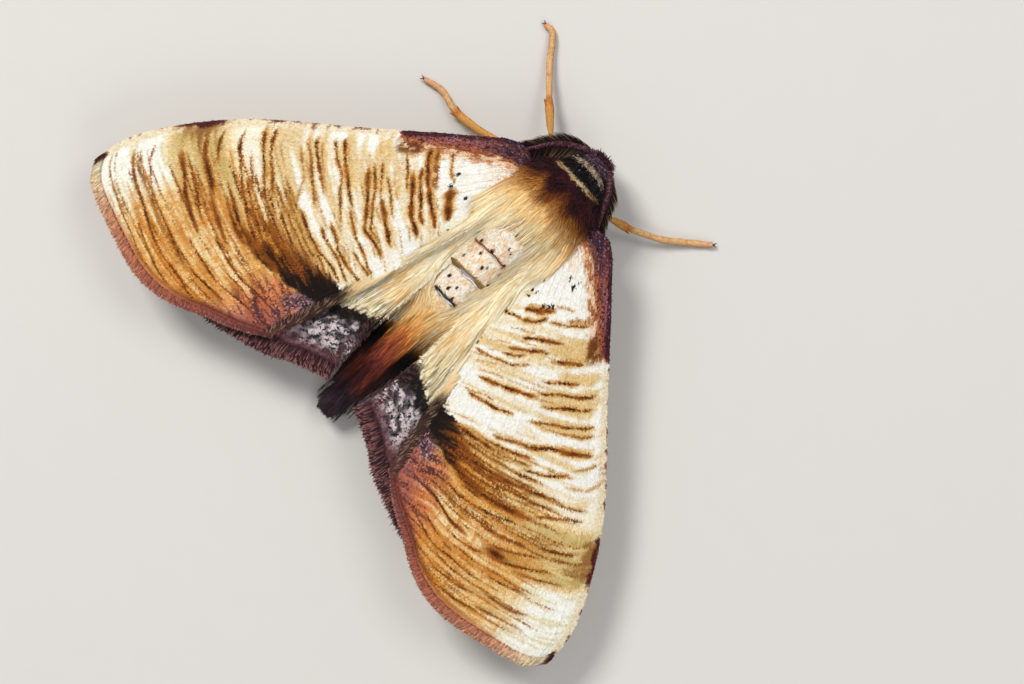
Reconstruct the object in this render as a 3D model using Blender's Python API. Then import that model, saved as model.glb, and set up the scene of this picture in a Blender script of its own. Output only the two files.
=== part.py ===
"""A male scorched wing moth (Plagodis dolabraria) at rest, life size, standing on its six feet.

Run it with: blender --background --python part.py

The frame is in metres with +Z up. The floor is Z = 0, the head points towards -Y and the moth's
left side is at +X. The origin is on the floor under the middle of the animal's box. Every size and
place below is in millimetres, and MM turns it into metres when a mesh is made.

The trunk is one lofted body, parted into head, collar, thorax, abdomen and tail tuft by thin cuts.
Each wing is a curved patch between its root, costa, termen and inner margin, and the hindwings lie
just under the forewings. Legs, palps and antennae are tubes that follow their own joints. The
antenna is as wide as the comb that it carries.
"""

import math

import bmesh
import bpy
from mathutils import Matrix, Vector

MM = 0.001
LEFT, RIGHT = 1, -1
SIDES = ((LEFT, "left"), (RIGHT, "right"))

# ---------------------------------------------------------------------------- driving dimensions

HEAD_FRONT = -6.85  # Y of the face
HEAD_END = -5.45
COLLAR_END = -4.55
THORAX_END = -2.35
ABDOMEN_END = 6.15
TAIL_TIP = 7.35  # Y of the end of the tail tuft
GAP = 0.1  # the thin cut between two neighbouring pieces
WING_THICKNESS = 0.5
FOREWING_LEVEL = 3.0  # height of the forewing's middle surface beside the body
HINDWING_LEVEL = FOREWING_LEVEL - WING_THICKNESS - GAP - 0.03
WING_DROOP = 0.05  # fall of the wings for each millimetre outwards
CAMBER = 0.16  # rise of the middle of a wing over its edges
COSTA_ROLL = 0.22  # how far the front edge of the forewing turns down
EYE_RADIUS = 0.5
EYE_PLACE = (0.80, -6.12, 1.80)
LEG_RADIUS = 0.25  # the thinnest that a leg gets
SOLE_LINE = 0.19  # height of a foot's middle line: what reaches below the floor is flattened
SEGMENTS = 7  # rings of the abdomen
SEGMENT_STEP = 0.05  # how far the rear edge of a ring stands over the next ring

# ---------------------------------------------------------------------------- finishes

FINISHES = {  # colour, roughness
    "pale_scales": ((0.86, 0.74, 0.52), 0.75),
    "scorched_scales": ((0.80, 0.58, 0.30), 0.70),
    "maroon_scales": ((0.13, 0.035, 0.045), 0.80),
    "tail_scales": ((0.11, 0.05, 0.06), 0.85),
    "leg_scales": ((0.62, 0.33, 0.12), 0.60),
    "antenna_scales": ((0.16, 0.06, 0.07), 0.70),
    "eye_facets": ((0.02, 0.016, 0.014), 0.15),
}


def finish(name):
    """The named material, made once."""
    if name in bpy.data.materials:
        return bpy.data.materials[name]
    colour, roughness = FINISHES[name]
    material = bpy.data.materials.new(name)
    material.use_nodes = True
    shader = material.node_tree.nodes["Principled BSDF"]
    shader.inputs["Base Color"].default_value = (*colour, 1)
    shader.inputs["Roughness"].default_value = roughness
    shader.inputs["Metallic"].default_value = 0
    return material


# ---------------------------------------------------------------------------- general shapes


def object_from(mesh, name, material):
    """Turns a bmesh in millimetres into a named object in metres, smooth over its gentle edges."""
    bmesh.ops.scale(mesh, vec=(MM, MM, MM), verts=mesh.verts)
    data = bpy.data.meshes.new(name)
    mesh.to_mesh(data)
    mesh.free()
    data.shade_smooth()
    data.set_sharp_from_angle(angle=math.radians(50))
    data.materials.append(finish(material))
    made = bpy.data.objects.new(name, data)
    bpy.context.scene.collection.objects.link(made)
    return made


def along(points, t):
    """The values at t, from 0 to 1, of a smooth curve through evenly weighted points."""
    spans = len(points) - 1
    place = min(max(t, 0.0), 1.0) * spans
    first = min(int(place), spans - 1)
    s = place - first
    start, end = points[first], points[first + 1]
    before = points[first - 1] if first else [2 * b - c for b, c in zip(start, end)]
    after = points[first + 2] if first + 2 <= spans else [2 * c - b for b, c in zip(start, end)]
    return [
        b + 0.5 * s * (c - a + s * (2 * a - 5 * b + 4 * c - d + s * (3 * b - a - 3 * c + d)))
        for a, b, c, d in zip(before, start, end, after)
    ]


def mirrored(points, side):
    """The same points on the moth's left or right side."""
    return [(side * x, *rest) for x, *rest in points]


def loft(name, rings, material):
    """A closed solid through rings that hold the same number of points, with both ends filled."""
    mesh = bmesh.new()
    rows = [[mesh.verts.new(point) for point in ring] for ring in rings]
    count = len(rows[0])
    for row, following in zip(rows, rows[1:]):
        for i in range(count):
            j = (i + 1) % count
            mesh.faces.new((row[i], row[j], following[j], following[i]))
    mesh.faces.new(reversed(rows[0]))
    mesh.faces.new(rows[-1])
    bmesh.ops.recalc_face_normals(mesh, faces=mesh.faces)
    return object_from(mesh, name, material)


def tube(name, path, sizes, material, samples, sides=8):
    """A tapering tube along path. sizes are its half width and half height along it.

    What would reach below the floor is flattened into a sole.
    """
    rings = []
    for step in range(samples + 1):
        t = step / samples
        centre = Vector(along(path, t))
        ahead = Vector(along(path, t + 0.02)) - Vector(along(path, t - 0.02))
        ahead.normalize()
        across = ahead.cross(Vector((0, 0, 1))).normalized()
        upwards = across.cross(ahead)
        wide, high = along(sizes, t)
        ring = []
        for i in range(sides):
            angle = 2 * math.pi * (i + 0.5) / sides
            point = centre + across * wide * math.cos(angle) + upwards * high * math.sin(angle)
            point.z = max(point.z, 0.0)
            ring.append(point)
        rings.append(ring)
    return loft(name, rings, material)


def helper(piece):
    """Marks an object as a cutter that is no part of the moth."""
    piece.hide_render = True
    piece.display_type = "WIRE"
    return piece


def cut_by(piece, cutter):
    """Takes the cutter's shape out of the piece."""
    cut = piece.modifiers.new("cut_by_" + cutter.name, "BOOLEAN")
    cut.operation = "DIFFERENCE"
    cut.object = cutter


# ---------------------------------------------------------------------------- trunk

# Y, height of the middle line, half width and half height. They are the outside of the coat.
TRUNK = [
    (HEAD_FRONT, 1.88, 0.22, 0.24),
    (-6.72, 1.90, 0.60, 0.58),
    (-6.40, 1.96, 0.86, 0.80),
    (-5.95, 2.06, 1.02, 0.94),
    (HEAD_END, 2.18, 1.26, 1.12),
    (-5.00, 2.25, 1.64, 1.34),
    (COLLAR_END, 2.28, 1.84, 1.48),
    (-3.90, 2.28, 1.90, 1.56),
    (-3.10, 2.22, 1.74, 1.50),
    (THORAX_END, 2.10, 1.42, 1.30),
    (-1.20, 1.98, 1.20, 1.12),
    (0.40, 1.78, 1.16, 1.06),
    (2.00, 1.52, 1.08, 0.96),
    (3.60, 1.24, 0.95, 0.84),
    (5.00, 1.02, 0.80, 0.68),
    (ABDOMEN_END, 0.88, 0.62, 0.52),
    (6.75, 0.82, 0.60, 0.46),
    (TAIL_TIP, 0.78, 0.40, 0.24),
]
TRUNK_PARTS = [  # name, finish, front, rear, and the number of lengths in its loft
    ("head", "maroon_scales", HEAD_FRONT, HEAD_END, 7),
    ("collar", "maroon_scales", HEAD_END, COLLAR_END, 3),
    ("thorax", "pale_scales", COLLAR_END, THORAX_END, 7),
    ("abdomen", "pale_scales", THORAX_END, ABDOMEN_END, 4 * SEGMENTS),
    ("tail_tuft", "tail_scales", ABDOMEN_END, TAIL_TIP, 4),
]


def trunk_at(y):
    """Height of the middle line, half width and half height of the trunk at y."""
    spans = len(TRUNK) - 1
    first = max(i for i in range(spans) if TRUNK[i][0] <= y or i == 0)
    front, rear = TRUNK[first][0], TRUNK[first + 1][0]
    return along([station[1:] for station in TRUNK], (first + (y - front) / (rear - front)) / spans)


def segment_swell(y):
    """How far the abdomen's ring at y stands out: most at three quarters of its length."""
    if not THORAX_END < y < ABDOMEN_END:
        return 0.0
    place = (y - THORAX_END) / (ABDOMEN_END - THORAX_END) * SEGMENTS
    within = place - math.floor(place)
    return SEGMENT_STEP * min(within / 0.75, (1 - within) / 0.25)


def trunk_ring(y, grow=0.0, sides=24):
    """One ring of the trunk. grow makes it larger all round, for a cutter."""
    middle, wide, high = trunk_at(y)
    more = segment_swell(y) + grow
    angles = [2 * math.pi * i / sides for i in range(sides)]
    return [((wide + more) * math.cos(a), y, middle + (high + more) * math.sin(a)) for a in angles]


def trunk_length(name, material, front, rear, lengths, grow=0.0):
    """The trunk from front to rear, with half a cut taken off at each inner end."""
    first = front if front == HEAD_FRONT else front + GAP / 2
    last = rear if rear == TAIL_TIP else rear - GAP / 2
    places = [front + (rear - front) * i / lengths for i in range(lengths + 1)]
    rings = [trunk_ring(min(max(y, first), last), grow) for y in places]
    return loft(name, rings, material)


# ---------------------------------------------------------------------------- head

PALP_PATH = [(0.25, -6.10, 0.98), (0.27, -6.46, 1.02), (0.29, -6.74, 1.12), (0.29, -6.90, 1.30)]
PALP_SIZES = [(0.25, 0.25), (0.27, 0.26), (0.26, 0.26), (0.25, 0.25)]
# The antenna sweeps back over the eye and slips under the front edge of the forewing. The two
# are held a little differently.
ANTENNA_PATHS = {
    LEFT: [
        (0.50, -6.62, 2.42),
        (0.95, -6.34, 2.64),
        (1.42, -5.86, 2.58),
        (1.80, -5.38, 2.32),
        (2.24, -4.80, 2.00),
        (3.00, -3.85, 1.84),
        (3.95, -2.80, 1.78),
        (4.80, -1.90, 1.76),
    ],
    RIGHT: [
        (-0.50, -6.62, 2.42),
        (-0.84, -6.38, 2.62),
        (-1.16, -5.96, 2.60),
        (-1.56, -5.46, 2.34),
        (-2.12, -4.86, 2.00),
        (-2.92, -3.90, 1.84),
        (-3.90, -2.85, 1.78),
        (-4.75, -1.95, 1.76),
    ],
}
ANTENNA_SIZES = [
    (0.25, 0.25),
    (0.30, 0.25),
    (0.42, 0.25),
    (0.46, 0.25),
    (0.44, 0.25),
    (0.40, 0.25),
    (0.25, 0.25),
]


def ball(name, centre, radius, material):
    """A sphere whose poles face out of the sides of the head."""
    mesh = bmesh.new()
    bmesh.ops.create_uvsphere(mesh, u_segments=14, v_segments=9, radius=radius)
    bmesh.ops.rotate(mesh, verts=mesh.verts, cent=(0, 0, 0), matrix=Matrix.Rotation(math.pi / 2, 3, "Y"))
    bmesh.ops.translate(mesh, verts=mesh.verts, vec=centre)
    return object_from(mesh, name, material)


def make_eyes(head):
    """Two round compound eyes, each in its own socket in the side of the head."""
    for side, word in SIDES:
        centre = mirrored([EYE_PLACE], side)[0]
        ball("eye_" + word, centre, EYE_RADIUS, "eye_facets")
        cut_by(head, helper(ball("eye_socket_" + word, centre, EYE_RADIUS + GAP, "eye_facets")))


def make_feelers(trunk):
    """The palps under the face and the antennae over the eyes."""
    for side, word in SIDES:
        palp = tube("palp_" + word, mirrored(PALP_PATH, side), PALP_SIZES, "maroon_scales", 6)
        cut_by(palp, trunk)
        antenna = tube("antenna_" + word, ANTENNA_PATHS[side], ANTENNA_SIZES, "antenna_scales", 20)
        cut_by(antenna, trunk)


# ---------------------------------------------------------------------------- wings

# Outlines of the left wings seen from above, out to the tips of the fringe, as X and Y. Each edge
# runs outwards or backwards.
FOREWING = {
    "costa": [
        (0.95, -4.35),
        (2.40, -4.80),
        (4.05, -3.44),
        (5.45, -2.10),
        (6.95, -0.65),
        (8.45, 0.72),
        (10.00, 2.30),
        (11.37, 4.19),
        (12.20, 5.80),
        (12.42, 7.30),
    ],
    "inner": [(0.85, -3.20), (1.28, -1.20), (1.76, 1.00), (2.24, 3.20), (2.70, 5.20), (3.17, 6.74)],
    "termen": [
        (12.42, 7.30),
        (11.78, 8.03),
        (10.10, 8.60),
        (8.30, 8.98),
        (6.80, 8.77),
        (5.42, 8.10),
        (4.20, 7.48),
        (3.17, 6.74),
    ],
}
HINDWING = {
    "costa": [(0.95, -3.00), (3.20, -1.30), (5.60, 1.00), (7.60, 3.60), (8.70, 6.30)],
    "inner": [(0.78, -2.20), (0.82, 0.60), (0.84, 3.40), (0.66, 6.22)],
    "termen": [
        (8.70, 6.30),
        (7.40, 7.76),
        (5.70, 8.12),
        (4.40, 7.84),
        (3.00, 7.36),
        (1.95, 6.75),
        (0.66, 6.22),
    ],
}


def wing_surface(outline, level, u, v):
    """The point of a wing's middle surface at u, from root to termen, and v, from costa to inner margin."""
    costa, inner, termen = outline["costa"], outline["inner"], outline["termen"]
    root = [costa[0], inner[0]]
    place = []
    for k in (0, 1):
        between = (1 - v) * along(costa, u)[k] + v * along(inner, u)[k]
        across = (1 - u) * along(root, v)[k] + u * along(termen, v)[k]
        corners = (1 - u) * ((1 - v) * costa[0][k] + v * inner[0][k])
        corners += u * ((1 - v) * termen[0][k] + v * termen[-1][k])
        place.append(between + across - corners)
    x, y = place
    rise = CAMBER * math.sin(math.pi * v) * math.sin(math.pi * (0.1 + 0.85 * u))
    roll = COSTA_ROLL * (1 - v) ** 6
    return x, y, level - WING_DROOP * x + rise - roll


def make_wing(name, outline, level, side, spanwise, chordwise, material, trunk):
    """A wing of even thickness, cut back where the trunk stands."""
    mesh = bmesh.new()
    rows = []
    for i in range(spanwise + 1):
        points = [wing_surface(outline, level, i / spanwise, j / chordwise) for j in range(chordwise + 1)]
        rows.append([mesh.verts.new(point) for point in mirrored(points, side)])
    for row, following in zip(rows, rows[1:]):
        for j in range(chordwise):
            corners = (row[j], row[j + 1], following[j + 1], following[j])
            mesh.faces.new(corners if side == LEFT else reversed(corners))
    wing = object_from(mesh, name, material)
    wall = wing.modifiers.new("membrane_and_scales", "SOLIDIFY")
    wall.thickness = WING_THICKNESS * MM
    wall.offset = 0
    wall.use_even_offset = True
    cut_by(wing, trunk)


def make_wings(trunk):
    for side, word in SIDES:
        make_wing("forewing_" + word, FOREWING, FOREWING_LEVEL, side, 26, 10, "scorched_scales", trunk)
        make_wing("hindwing_" + word, HINDWING, HINDWING_LEVEL, side, 16, 8, "pale_scales", trunk)


# ---------------------------------------------------------------------------- legs

# Each leg from its hip under the body over knee and ankle to its claws.
LEG_PATHS = {
    "leg_front_left": [
        (0.55, -4.75, 0.92),
        (1.15, -5.30, 1.14),
        (1.93, -5.86, 1.22),
        (3.05, -6.78, 0.74),
        (4.00, -7.66, 0.30),
        (4.70, -8.44, SOLE_LINE),
        (5.12, -8.46, SOLE_LINE),
    ],
    "leg_front_right": [
        (-0.55, -4.75, 0.92),
        (-1.10, -5.14, 1.14),
        (-1.75, -5.44, 1.22),
        (-2.60, -5.72, 0.86),
        (-3.60, -6.30, 0.40),
        (-4.40, -7.06, SOLE_LINE),
        (-4.98, -7.62, SOLE_LINE),
    ],
    "leg_middle_left": [
        (0.70, -3.75, 0.76),
        (1.60, -4.15, 1.06),
        (2.70, -4.38, 1.18),
        (3.90, -3.98, 0.72),
        (4.98, -3.80, 0.34),
        (5.86, -3.94, SOLE_LINE),
        (6.66, -3.74, SOLE_LINE),
    ],
    "leg_middle_right": [
        (-0.70, -3.75, 0.76),
        (-1.60, -3.85, 1.06),
        (-2.60, -3.55, 1.14),
        (-3.60, -2.72, 0.72),
        (-4.40, -2.02, 0.34),
        (-5.06, -1.46, SOLE_LINE),
        (-5.62, -1.02, SOLE_LINE),
    ],
    "leg_hind_left": [
        (0.65, -2.60, 0.72),
        (1.50, -2.05, 1.08),
        (2.30, -1.20, 1.20),
        (2.90, 0.30, 0.82),
        (3.35, 1.70, 0.42),
        (3.70, 2.80, SOLE_LINE),
        (3.98, 3.76, SOLE_LINE),
    ],
    "leg_hind_right": [
        (-0.65, -2.60, 0.72),
        (-1.50, -2.05, 1.08),
        (-2.30, -1.20, 1.20),
        (-2.84, 0.34, 0.82),
        (-3.22, 1.78, 0.42),
        (-3.50, 2.90, SOLE_LINE),
        (-3.72, 3.86, SOLE_LINE),
    ],
}
LEG_SIZES = [
    (0.32, 0.30),
    (0.34, 0.32),
    (0.30, 0.29),
    (0.27, 0.26),
    (LEG_RADIUS, LEG_RADIUS),
    (LEG_RADIUS, LEG_RADIUS),
]


def make_legs(trunk):
    for name, path in LEG_PATHS.items():
        cut_by(tube(name, path, LEG_SIZES, "leg_scales", 15), trunk)


# ---------------------------------------------------------------------------- the whole moth


def stand_on_origin():
    """Hangs every piece from one empty, placed so that the moth's box is centred on the origin."""
    bpy.context.view_layer.update()
    evaluated = bpy.context.evaluated_depsgraph_get()
    pieces = list(bpy.context.scene.objects)
    corners = [
        Vector(corner)
        for piece in pieces
        if not piece.hide_render
        for corner in piece.evaluated_get(evaluated).bound_box
    ]
    middle_x = (min(c.x for c in corners) + max(c.x for c in corners)) / 2
    middle_y = (min(c.y for c in corners) + max(c.y for c in corners)) / 2
    moth = bpy.data.objects.new("moth", None)
    bpy.context.scene.collection.objects.link(moth)
    moth.location = (-middle_x, -middle_y, 0)
    for piece in pieces:
        piece.parent = moth


def build_moth():
    for old in list(bpy.data.objects):
        bpy.data.objects.remove(old, do_unlink=True)
    parts = {name: trunk_length(name, *rest) for name, *rest in TRUNK_PARTS}
    whole = helper(trunk_length("trunk_and_gap", "pale_scales", HEAD_FRONT, TAIL_TIP, 56, GAP))
    make_eyes(parts["head"])
    make_feelers(whole)
    make_wings(whole)
    make_legs(whole)
    stand_on_origin()


build_moth()
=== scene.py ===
"""The looks of a male scorched wing moth at rest, life size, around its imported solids.

Places are in millimetres in the moth's own plan: the face is at Y = -6.85, the tail at Y = 7.35,
the midline is X = 0 and the left wing is at +X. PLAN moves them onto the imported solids, and MM
turns them into metres when a mesh is made.
"""

import math

import bpy
import numpy as np
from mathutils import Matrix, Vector
from mathutils.bvhtree import BVHTree


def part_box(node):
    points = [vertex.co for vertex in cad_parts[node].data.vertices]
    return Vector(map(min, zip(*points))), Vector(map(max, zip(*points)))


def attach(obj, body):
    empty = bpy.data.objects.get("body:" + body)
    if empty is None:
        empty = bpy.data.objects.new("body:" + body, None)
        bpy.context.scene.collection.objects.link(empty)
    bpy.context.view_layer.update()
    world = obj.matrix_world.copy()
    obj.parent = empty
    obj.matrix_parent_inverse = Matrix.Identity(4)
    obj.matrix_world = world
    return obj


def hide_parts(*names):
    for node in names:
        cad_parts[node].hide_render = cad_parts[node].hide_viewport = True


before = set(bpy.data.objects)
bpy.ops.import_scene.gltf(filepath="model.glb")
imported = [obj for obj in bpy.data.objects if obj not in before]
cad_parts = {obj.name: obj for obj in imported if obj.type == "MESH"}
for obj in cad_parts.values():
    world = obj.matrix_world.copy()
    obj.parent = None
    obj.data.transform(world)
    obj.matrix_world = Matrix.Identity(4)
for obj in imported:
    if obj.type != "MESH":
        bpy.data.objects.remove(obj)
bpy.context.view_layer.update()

# ---------------------------------------------------------------------------- camera
# A copy camera looks straight down on the moth, with the head to the upper right.

MM = 0.001
FACE_Y, TAIL_Y = -6.85, 7.35
thorax_low, thorax_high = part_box("thorax")
PLAN = np.array(
    [(thorax_low.x + thorax_high.x) / 2 / MM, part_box("head")[0].y / MM - FACE_Y, 0.0]
)
VIEW_MIDDLE = (-2.77, 0.29)
VIEW_WIDTH = 37.24  # of the plane of the wings
VIEW_UP = (0.7445, -0.667)  # which way is up in the view
WING_PLANE = 3.0
LENS, SENSOR = 100, 36


def add_object(name, data):
    """A new object in the scene with its own data."""
    made = bpy.data.objects.new(name, data)
    bpy.context.scene.collection.objects.link(made)
    return made


camera_data = bpy.data.cameras.new("copy_camera")
camera_data.lens = LENS
camera_data.sensor_width = SENSOR
camera_data.clip_start = 0.005
camera_data.clip_end = 10
camera = add_object("copy_camera", camera_data)
camera.location = (
    (VIEW_MIDDLE[0] + PLAN[0]) * MM,
    (VIEW_MIDDLE[1] + PLAN[1]) * MM,
    (WING_PLANE + VIEW_WIDTH * LENS / SENSOR) * MM,
)
camera.rotation_euler = (0, 0, math.atan2(-VIEW_UP[0], VIEW_UP[1]))
bpy.context.scene.camera = camera

# ---------------------------------------------------------------------------- floor and light
# A plain pale table top under three soft lamps: a key from the upper left, a fill and a top light.


def add_node(tree, kind, inputs):
    """A new node of a material, with some of its inputs set."""
    made = tree.nodes.new("ShaderNode" + kind)
    for name, value in inputs.items():
        made.inputs[name].default_value = value
    return made


def connect(node, output, other, value):
    """Leads an output of one node to an input of another."""
    node.id_data.links.new(node.outputs[output], other.inputs[value])


bpy.ops.object.select_all(action="DESELECT")
bpy.ops.mesh.primitive_grid_add(x_subdivisions=8, y_subdivisions=8, size=1.2)
floor = bpy.context.object
floor.name = "floor"
floor_paint = bpy.data.materials.new("floor_paint")
floor_paint.use_nodes = True
paint = floor_paint.node_tree
grain = add_node(paint, "TexNoise", {"Scale": 900})
tone = add_node(paint, "MapRange", {"To Min": 0.86, "To Max": 0.92})
place = add_node(paint, "TexCoord", {})
pale = add_node(paint, "Mix", {})
pale.data_type = "RGBA"
pale.inputs["A"].default_value = (0.5, 0.48, 0.45, 1)
pale.inputs["B"].default_value = (0.66, 0.64, 0.61, 1)
connect(place, "Object", grain, "Vector")
connect(grain, "Fac", tone, "Value")
connect(tone, "Result", pale, "Factor")
varnish = paint.nodes["Principled BSDF"]
varnish.inputs["Roughness"].default_value = 0.8
connect(pale, "Result", varnish, "Base Color")
floor.data.materials.append(floor_paint)

MOTH_MIDDLE = Vector((0, 0, 0.002))


def lamp(name, place, size, power, colour):
    """A square soft lamp that points at the moth."""
    data = bpy.data.lights.new(name, "AREA")
    data.size = size
    data.energy = power
    data.color = colour
    made = add_object(name, data)
    made.location = place
    made.rotation_euler = (MOTH_MIDDLE - Vector(place)).to_track_quat("-Z", "Y").to_euler()


lamp("key_lamp", (0.19, -0.02, 0.22), 0.09, 0.64, (1, 0.98, 0.94))
lamp("fill_lamp", (-0.2, 0.06, 0.2), 0.16, 0.16, (0.93, 0.96, 1))
lamp("top_lamp", (-0.03, -0.16, 0.26), 0.14, 0.22, (1, 0.99, 0.97))

world = bpy.data.worlds.new("studio")
world.use_nodes = True
world.node_tree.nodes["Background"].inputs["Color"].default_value = (0.93, 0.95, 1, 1)
world.node_tree.nodes["Background"].inputs["Strength"].default_value = 0.35
bpy.context.scene.world = world
bpy.context.scene.view_settings.view_transform = "Standard"

# ---------------------------------------------------------------------------- forewings
# Two stiff membranes on fan-shaped veins, roofed over with rows of flat scales and edged with a
# fringe. Each starts at the side of the thorax and lies spread flat. The pattern lies in the scales.

FOREWING = {
    "costa": [
        (0.95, -4.35), (2.4, -4.8), (4.05, -3.44), (5.45, -2.1), (6.95, -0.65), (8.45, 0.72),
        (10.0, 2.3), (11.37, 4.19), (12.2, 5.8), (12.42, 7.3),
    ],
    "inner": [(0.85, -3.2), (1.28, -1.2), (1.76, 1.0), (2.24, 3.2), (2.7, 5.2), (3.17, 6.74)],
    "termen": [
        (12.42, 7.3), (11.78, 8.03), (10.1, 8.6), (8.3, 8.98), (6.8, 8.77), (5.42, 8.1),
        (4.2, 7.48), (3.17, 6.74),
    ],
    "level": 2.92,
}
DROOP = 0.05  # fall of a wing for each millimetre outwards
CAMBER = 0.16
COSTA_ROLL = 0.22
FOREWING_VEINS = [  # where each vein starts and ends between costa and inner margin
    (0.16, 0.09), (0.24, 0.16), (0.28, 0.27), (0.34, 0.39), (0.42, 0.48), (0.48, 0.57),
    (0.54, 0.67), (0.62, 0.78), (0.86, 0.93),
]
MEMBRANE = (0.979, 0.972)  # where the membrane stops and the fringe starts, along and across
MEMBRANE_WALL = 0.1
SIDES = ((1, "left"), (-1, "right"))

# Cross lines of each forewing: width, strength, then places as (from costa, from root).
LEFT_LINES = [
    (0.005, 0.7, (0.18, 0.227), (0.3, 0.23), (0.4, 0.225)),
    (0.022, 0.9, (0.46, 0.232), (0.6, 0.244), (0.75, 0.256)),
    (0.012, 0.8, (0.15, 0.262), (0.25, 0.262)),
    (0.012, 1.0, (0.15, 0.276), (0.3, 0.284), (0.45, 0.283), (0.65, 0.289), (0.77, 0.298)),
    (0.008, 1.0, (0.28, 0.296), (0.4, 0.303), (0.5, 0.306), (0.6, 0.318), (0.7, 0.325)),
    (0.012, 1.0, (0.3, 0.315), (0.42, 0.322), (0.5, 0.33), (0.6, 0.34), (0.7, 0.347),
     (0.78, 0.352)),
    (0.005, 0.9, (0.18, 0.325), (0.3, 0.328), (0.4, 0.333)),
    (0.005, 0.8, (0.32, 0.371), (0.42, 0.37), (0.54, 0.381)),
    (0.005, 0.9, (0.23, 0.376), (0.3, 0.383), (0.4, 0.392)),
    (0.011, 0.9, (0.42, 0.392), (0.5, 0.395), (0.6, 0.405), (0.65, 0.412), (0.73, 0.425),
     (0.78, 0.43)),
    (0.007, 0.9, (0.24, 0.393), (0.38, 0.402), (0.46, 0.418), (0.55, 0.43), (0.6, 0.443),
     (0.7, 0.45)),
    (0.01, 0.9, (0.25, 0.407), (0.35, 0.415), (0.47, 0.43), (0.55, 0.447), (0.62, 0.458),
     (0.75, 0.462), (0.82, 0.472)),
    (0.008, 1.0, (0.1, 0.45), (0.25, 0.452), (0.42, 0.458)),
    (0.006, 0.8, (0.1, 0.47), (0.28, 0.465), (0.35, 0.475), (0.42, 0.485), (0.5, 0.495)),
    (0.005, 0.4, (0.12, 0.495), (0.35, 0.507)),
    (0.006, 0.9, (0.1, 0.508), (0.25, 0.508), (0.35, 0.512)),
    (0.006, 0.6, (0.1, 0.525), (0.2, 0.522), (0.3, 0.53), (0.4, 0.537)),
    (0.006, 0.9, (0.52, 0.545), (0.6, 0.557), (0.7, 0.567), (0.78, 0.58), (0.88, 0.6)),
    (0.005, 0.4, (0.15, 0.54), (0.27, 0.545), (0.38, 0.575)),
    (0.006, 0.8, (0.45, 0.4645), (0.6, 0.483), (0.65, 0.493), (0.75, 0.503), (0.84, 0.518),
     (0.92, 0.53)),
    (0.007, 0.9, (0.5, 0.52), (0.6, 0.532), (0.7, 0.555), (0.8, 0.565), (0.95, 0.575)),
    (0.007, 0.8, (0.73, 0.525), (0.88, 0.535), (0.95, 0.54)),
    (0.007, 1.0, (0.41, 0.571), (0.55, 0.58), (0.65, 0.592), (0.78, 0.602), (0.87, 0.62)),
    (0.004, 0.7, (0.48, 0.587), (0.55, 0.597), (0.67, 0.613)),
    (0.006, 0.9, (0.05, 0.59), (0.22, 0.602), (0.35, 0.62)),
    (0.006, 0.9, (0.05, 0.61), (0.2, 0.615), (0.32, 0.632), (0.4, 0.638)),
    (0.006, 0.8, (0.4, 0.612), (0.5, 0.622), (0.58, 0.63)),
    (0.004, 0.9, (0.19, 0.637), (0.3, 0.652)),
    (0.006, 1.0, (0.08, 0.65), (0.2, 0.66), (0.3, 0.672), (0.4, 0.682), (0.55, 0.7)),
    (0.006, 1.0, (0.28, 0.66), (0.42, 0.67), (0.5, 0.678)),
    (0.006, 0.8, (0.07, 0.686), (0.2, 0.7)),
    (0.007, 1.0, (0.28, 0.695), (0.4, 0.702), (0.55, 0.712)),
    (0.01, 0.8, (0.32, 0.708), (0.5, 0.718)),
    (0.012, 0.9, (0.1, 0.715), (0.3, 0.727)),
    (0.005, 0.9, (0.2, 0.749), (0.3, 0.76), (0.38, 0.77)),
    (0.011, 0.9, (0.15, 0.76), (0.22, 0.766), (0.28, 0.78), (0.4, 0.79)),
    (0.005, 0.6, (0.22, 0.785), (0.3, 0.793)),
    (0.009, 0.9, (0.3, 0.733), (0.48, 0.748)),
    (0.006, 1.2, (0.45, 0.762), (0.57, 0.778), (0.65, 0.797), (0.75, 0.813), (0.85, 0.835),
     (0.97, 0.88)),
    (0.006, 1.0, (0.42, 0.815), (0.53, 0.827), (0.63, 0.85), (0.73, 0.87), (0.8, 0.885),
     (0.9, 0.935)),
    (0.004, 0.7, (0.1, 0.816), (0.2, 0.837), (0.3, 0.862)),
    (0.004, 0.8, (0.32, 0.848), (0.48, 0.862)),
    (0.008, 1.0, (0.52, 0.865), (0.6, 0.875), (0.7, 0.9)),
    (0.007, 0.9, (0.1, 0.865), (0.25, 0.88), (0.4, 0.897), (0.48, 0.9), (0.55, 0.915),
     (0.63, 0.945)),
    (0.007, 0.8, (0.3, 0.91), (0.38, 0.922), (0.52, 0.945)),
    (0.004, 0.6, (0.2, 0.937), (0.45, 0.952)),
    (0.004, 0.4, (0.05, 0.915), (0.15, 0.918)),
    (0.004, 0.4, (0.05, 0.93), (0.25, 0.938)),
    (0.005, 0.6, (0.2, 0.964), (0.5, 0.968)),
]
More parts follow.
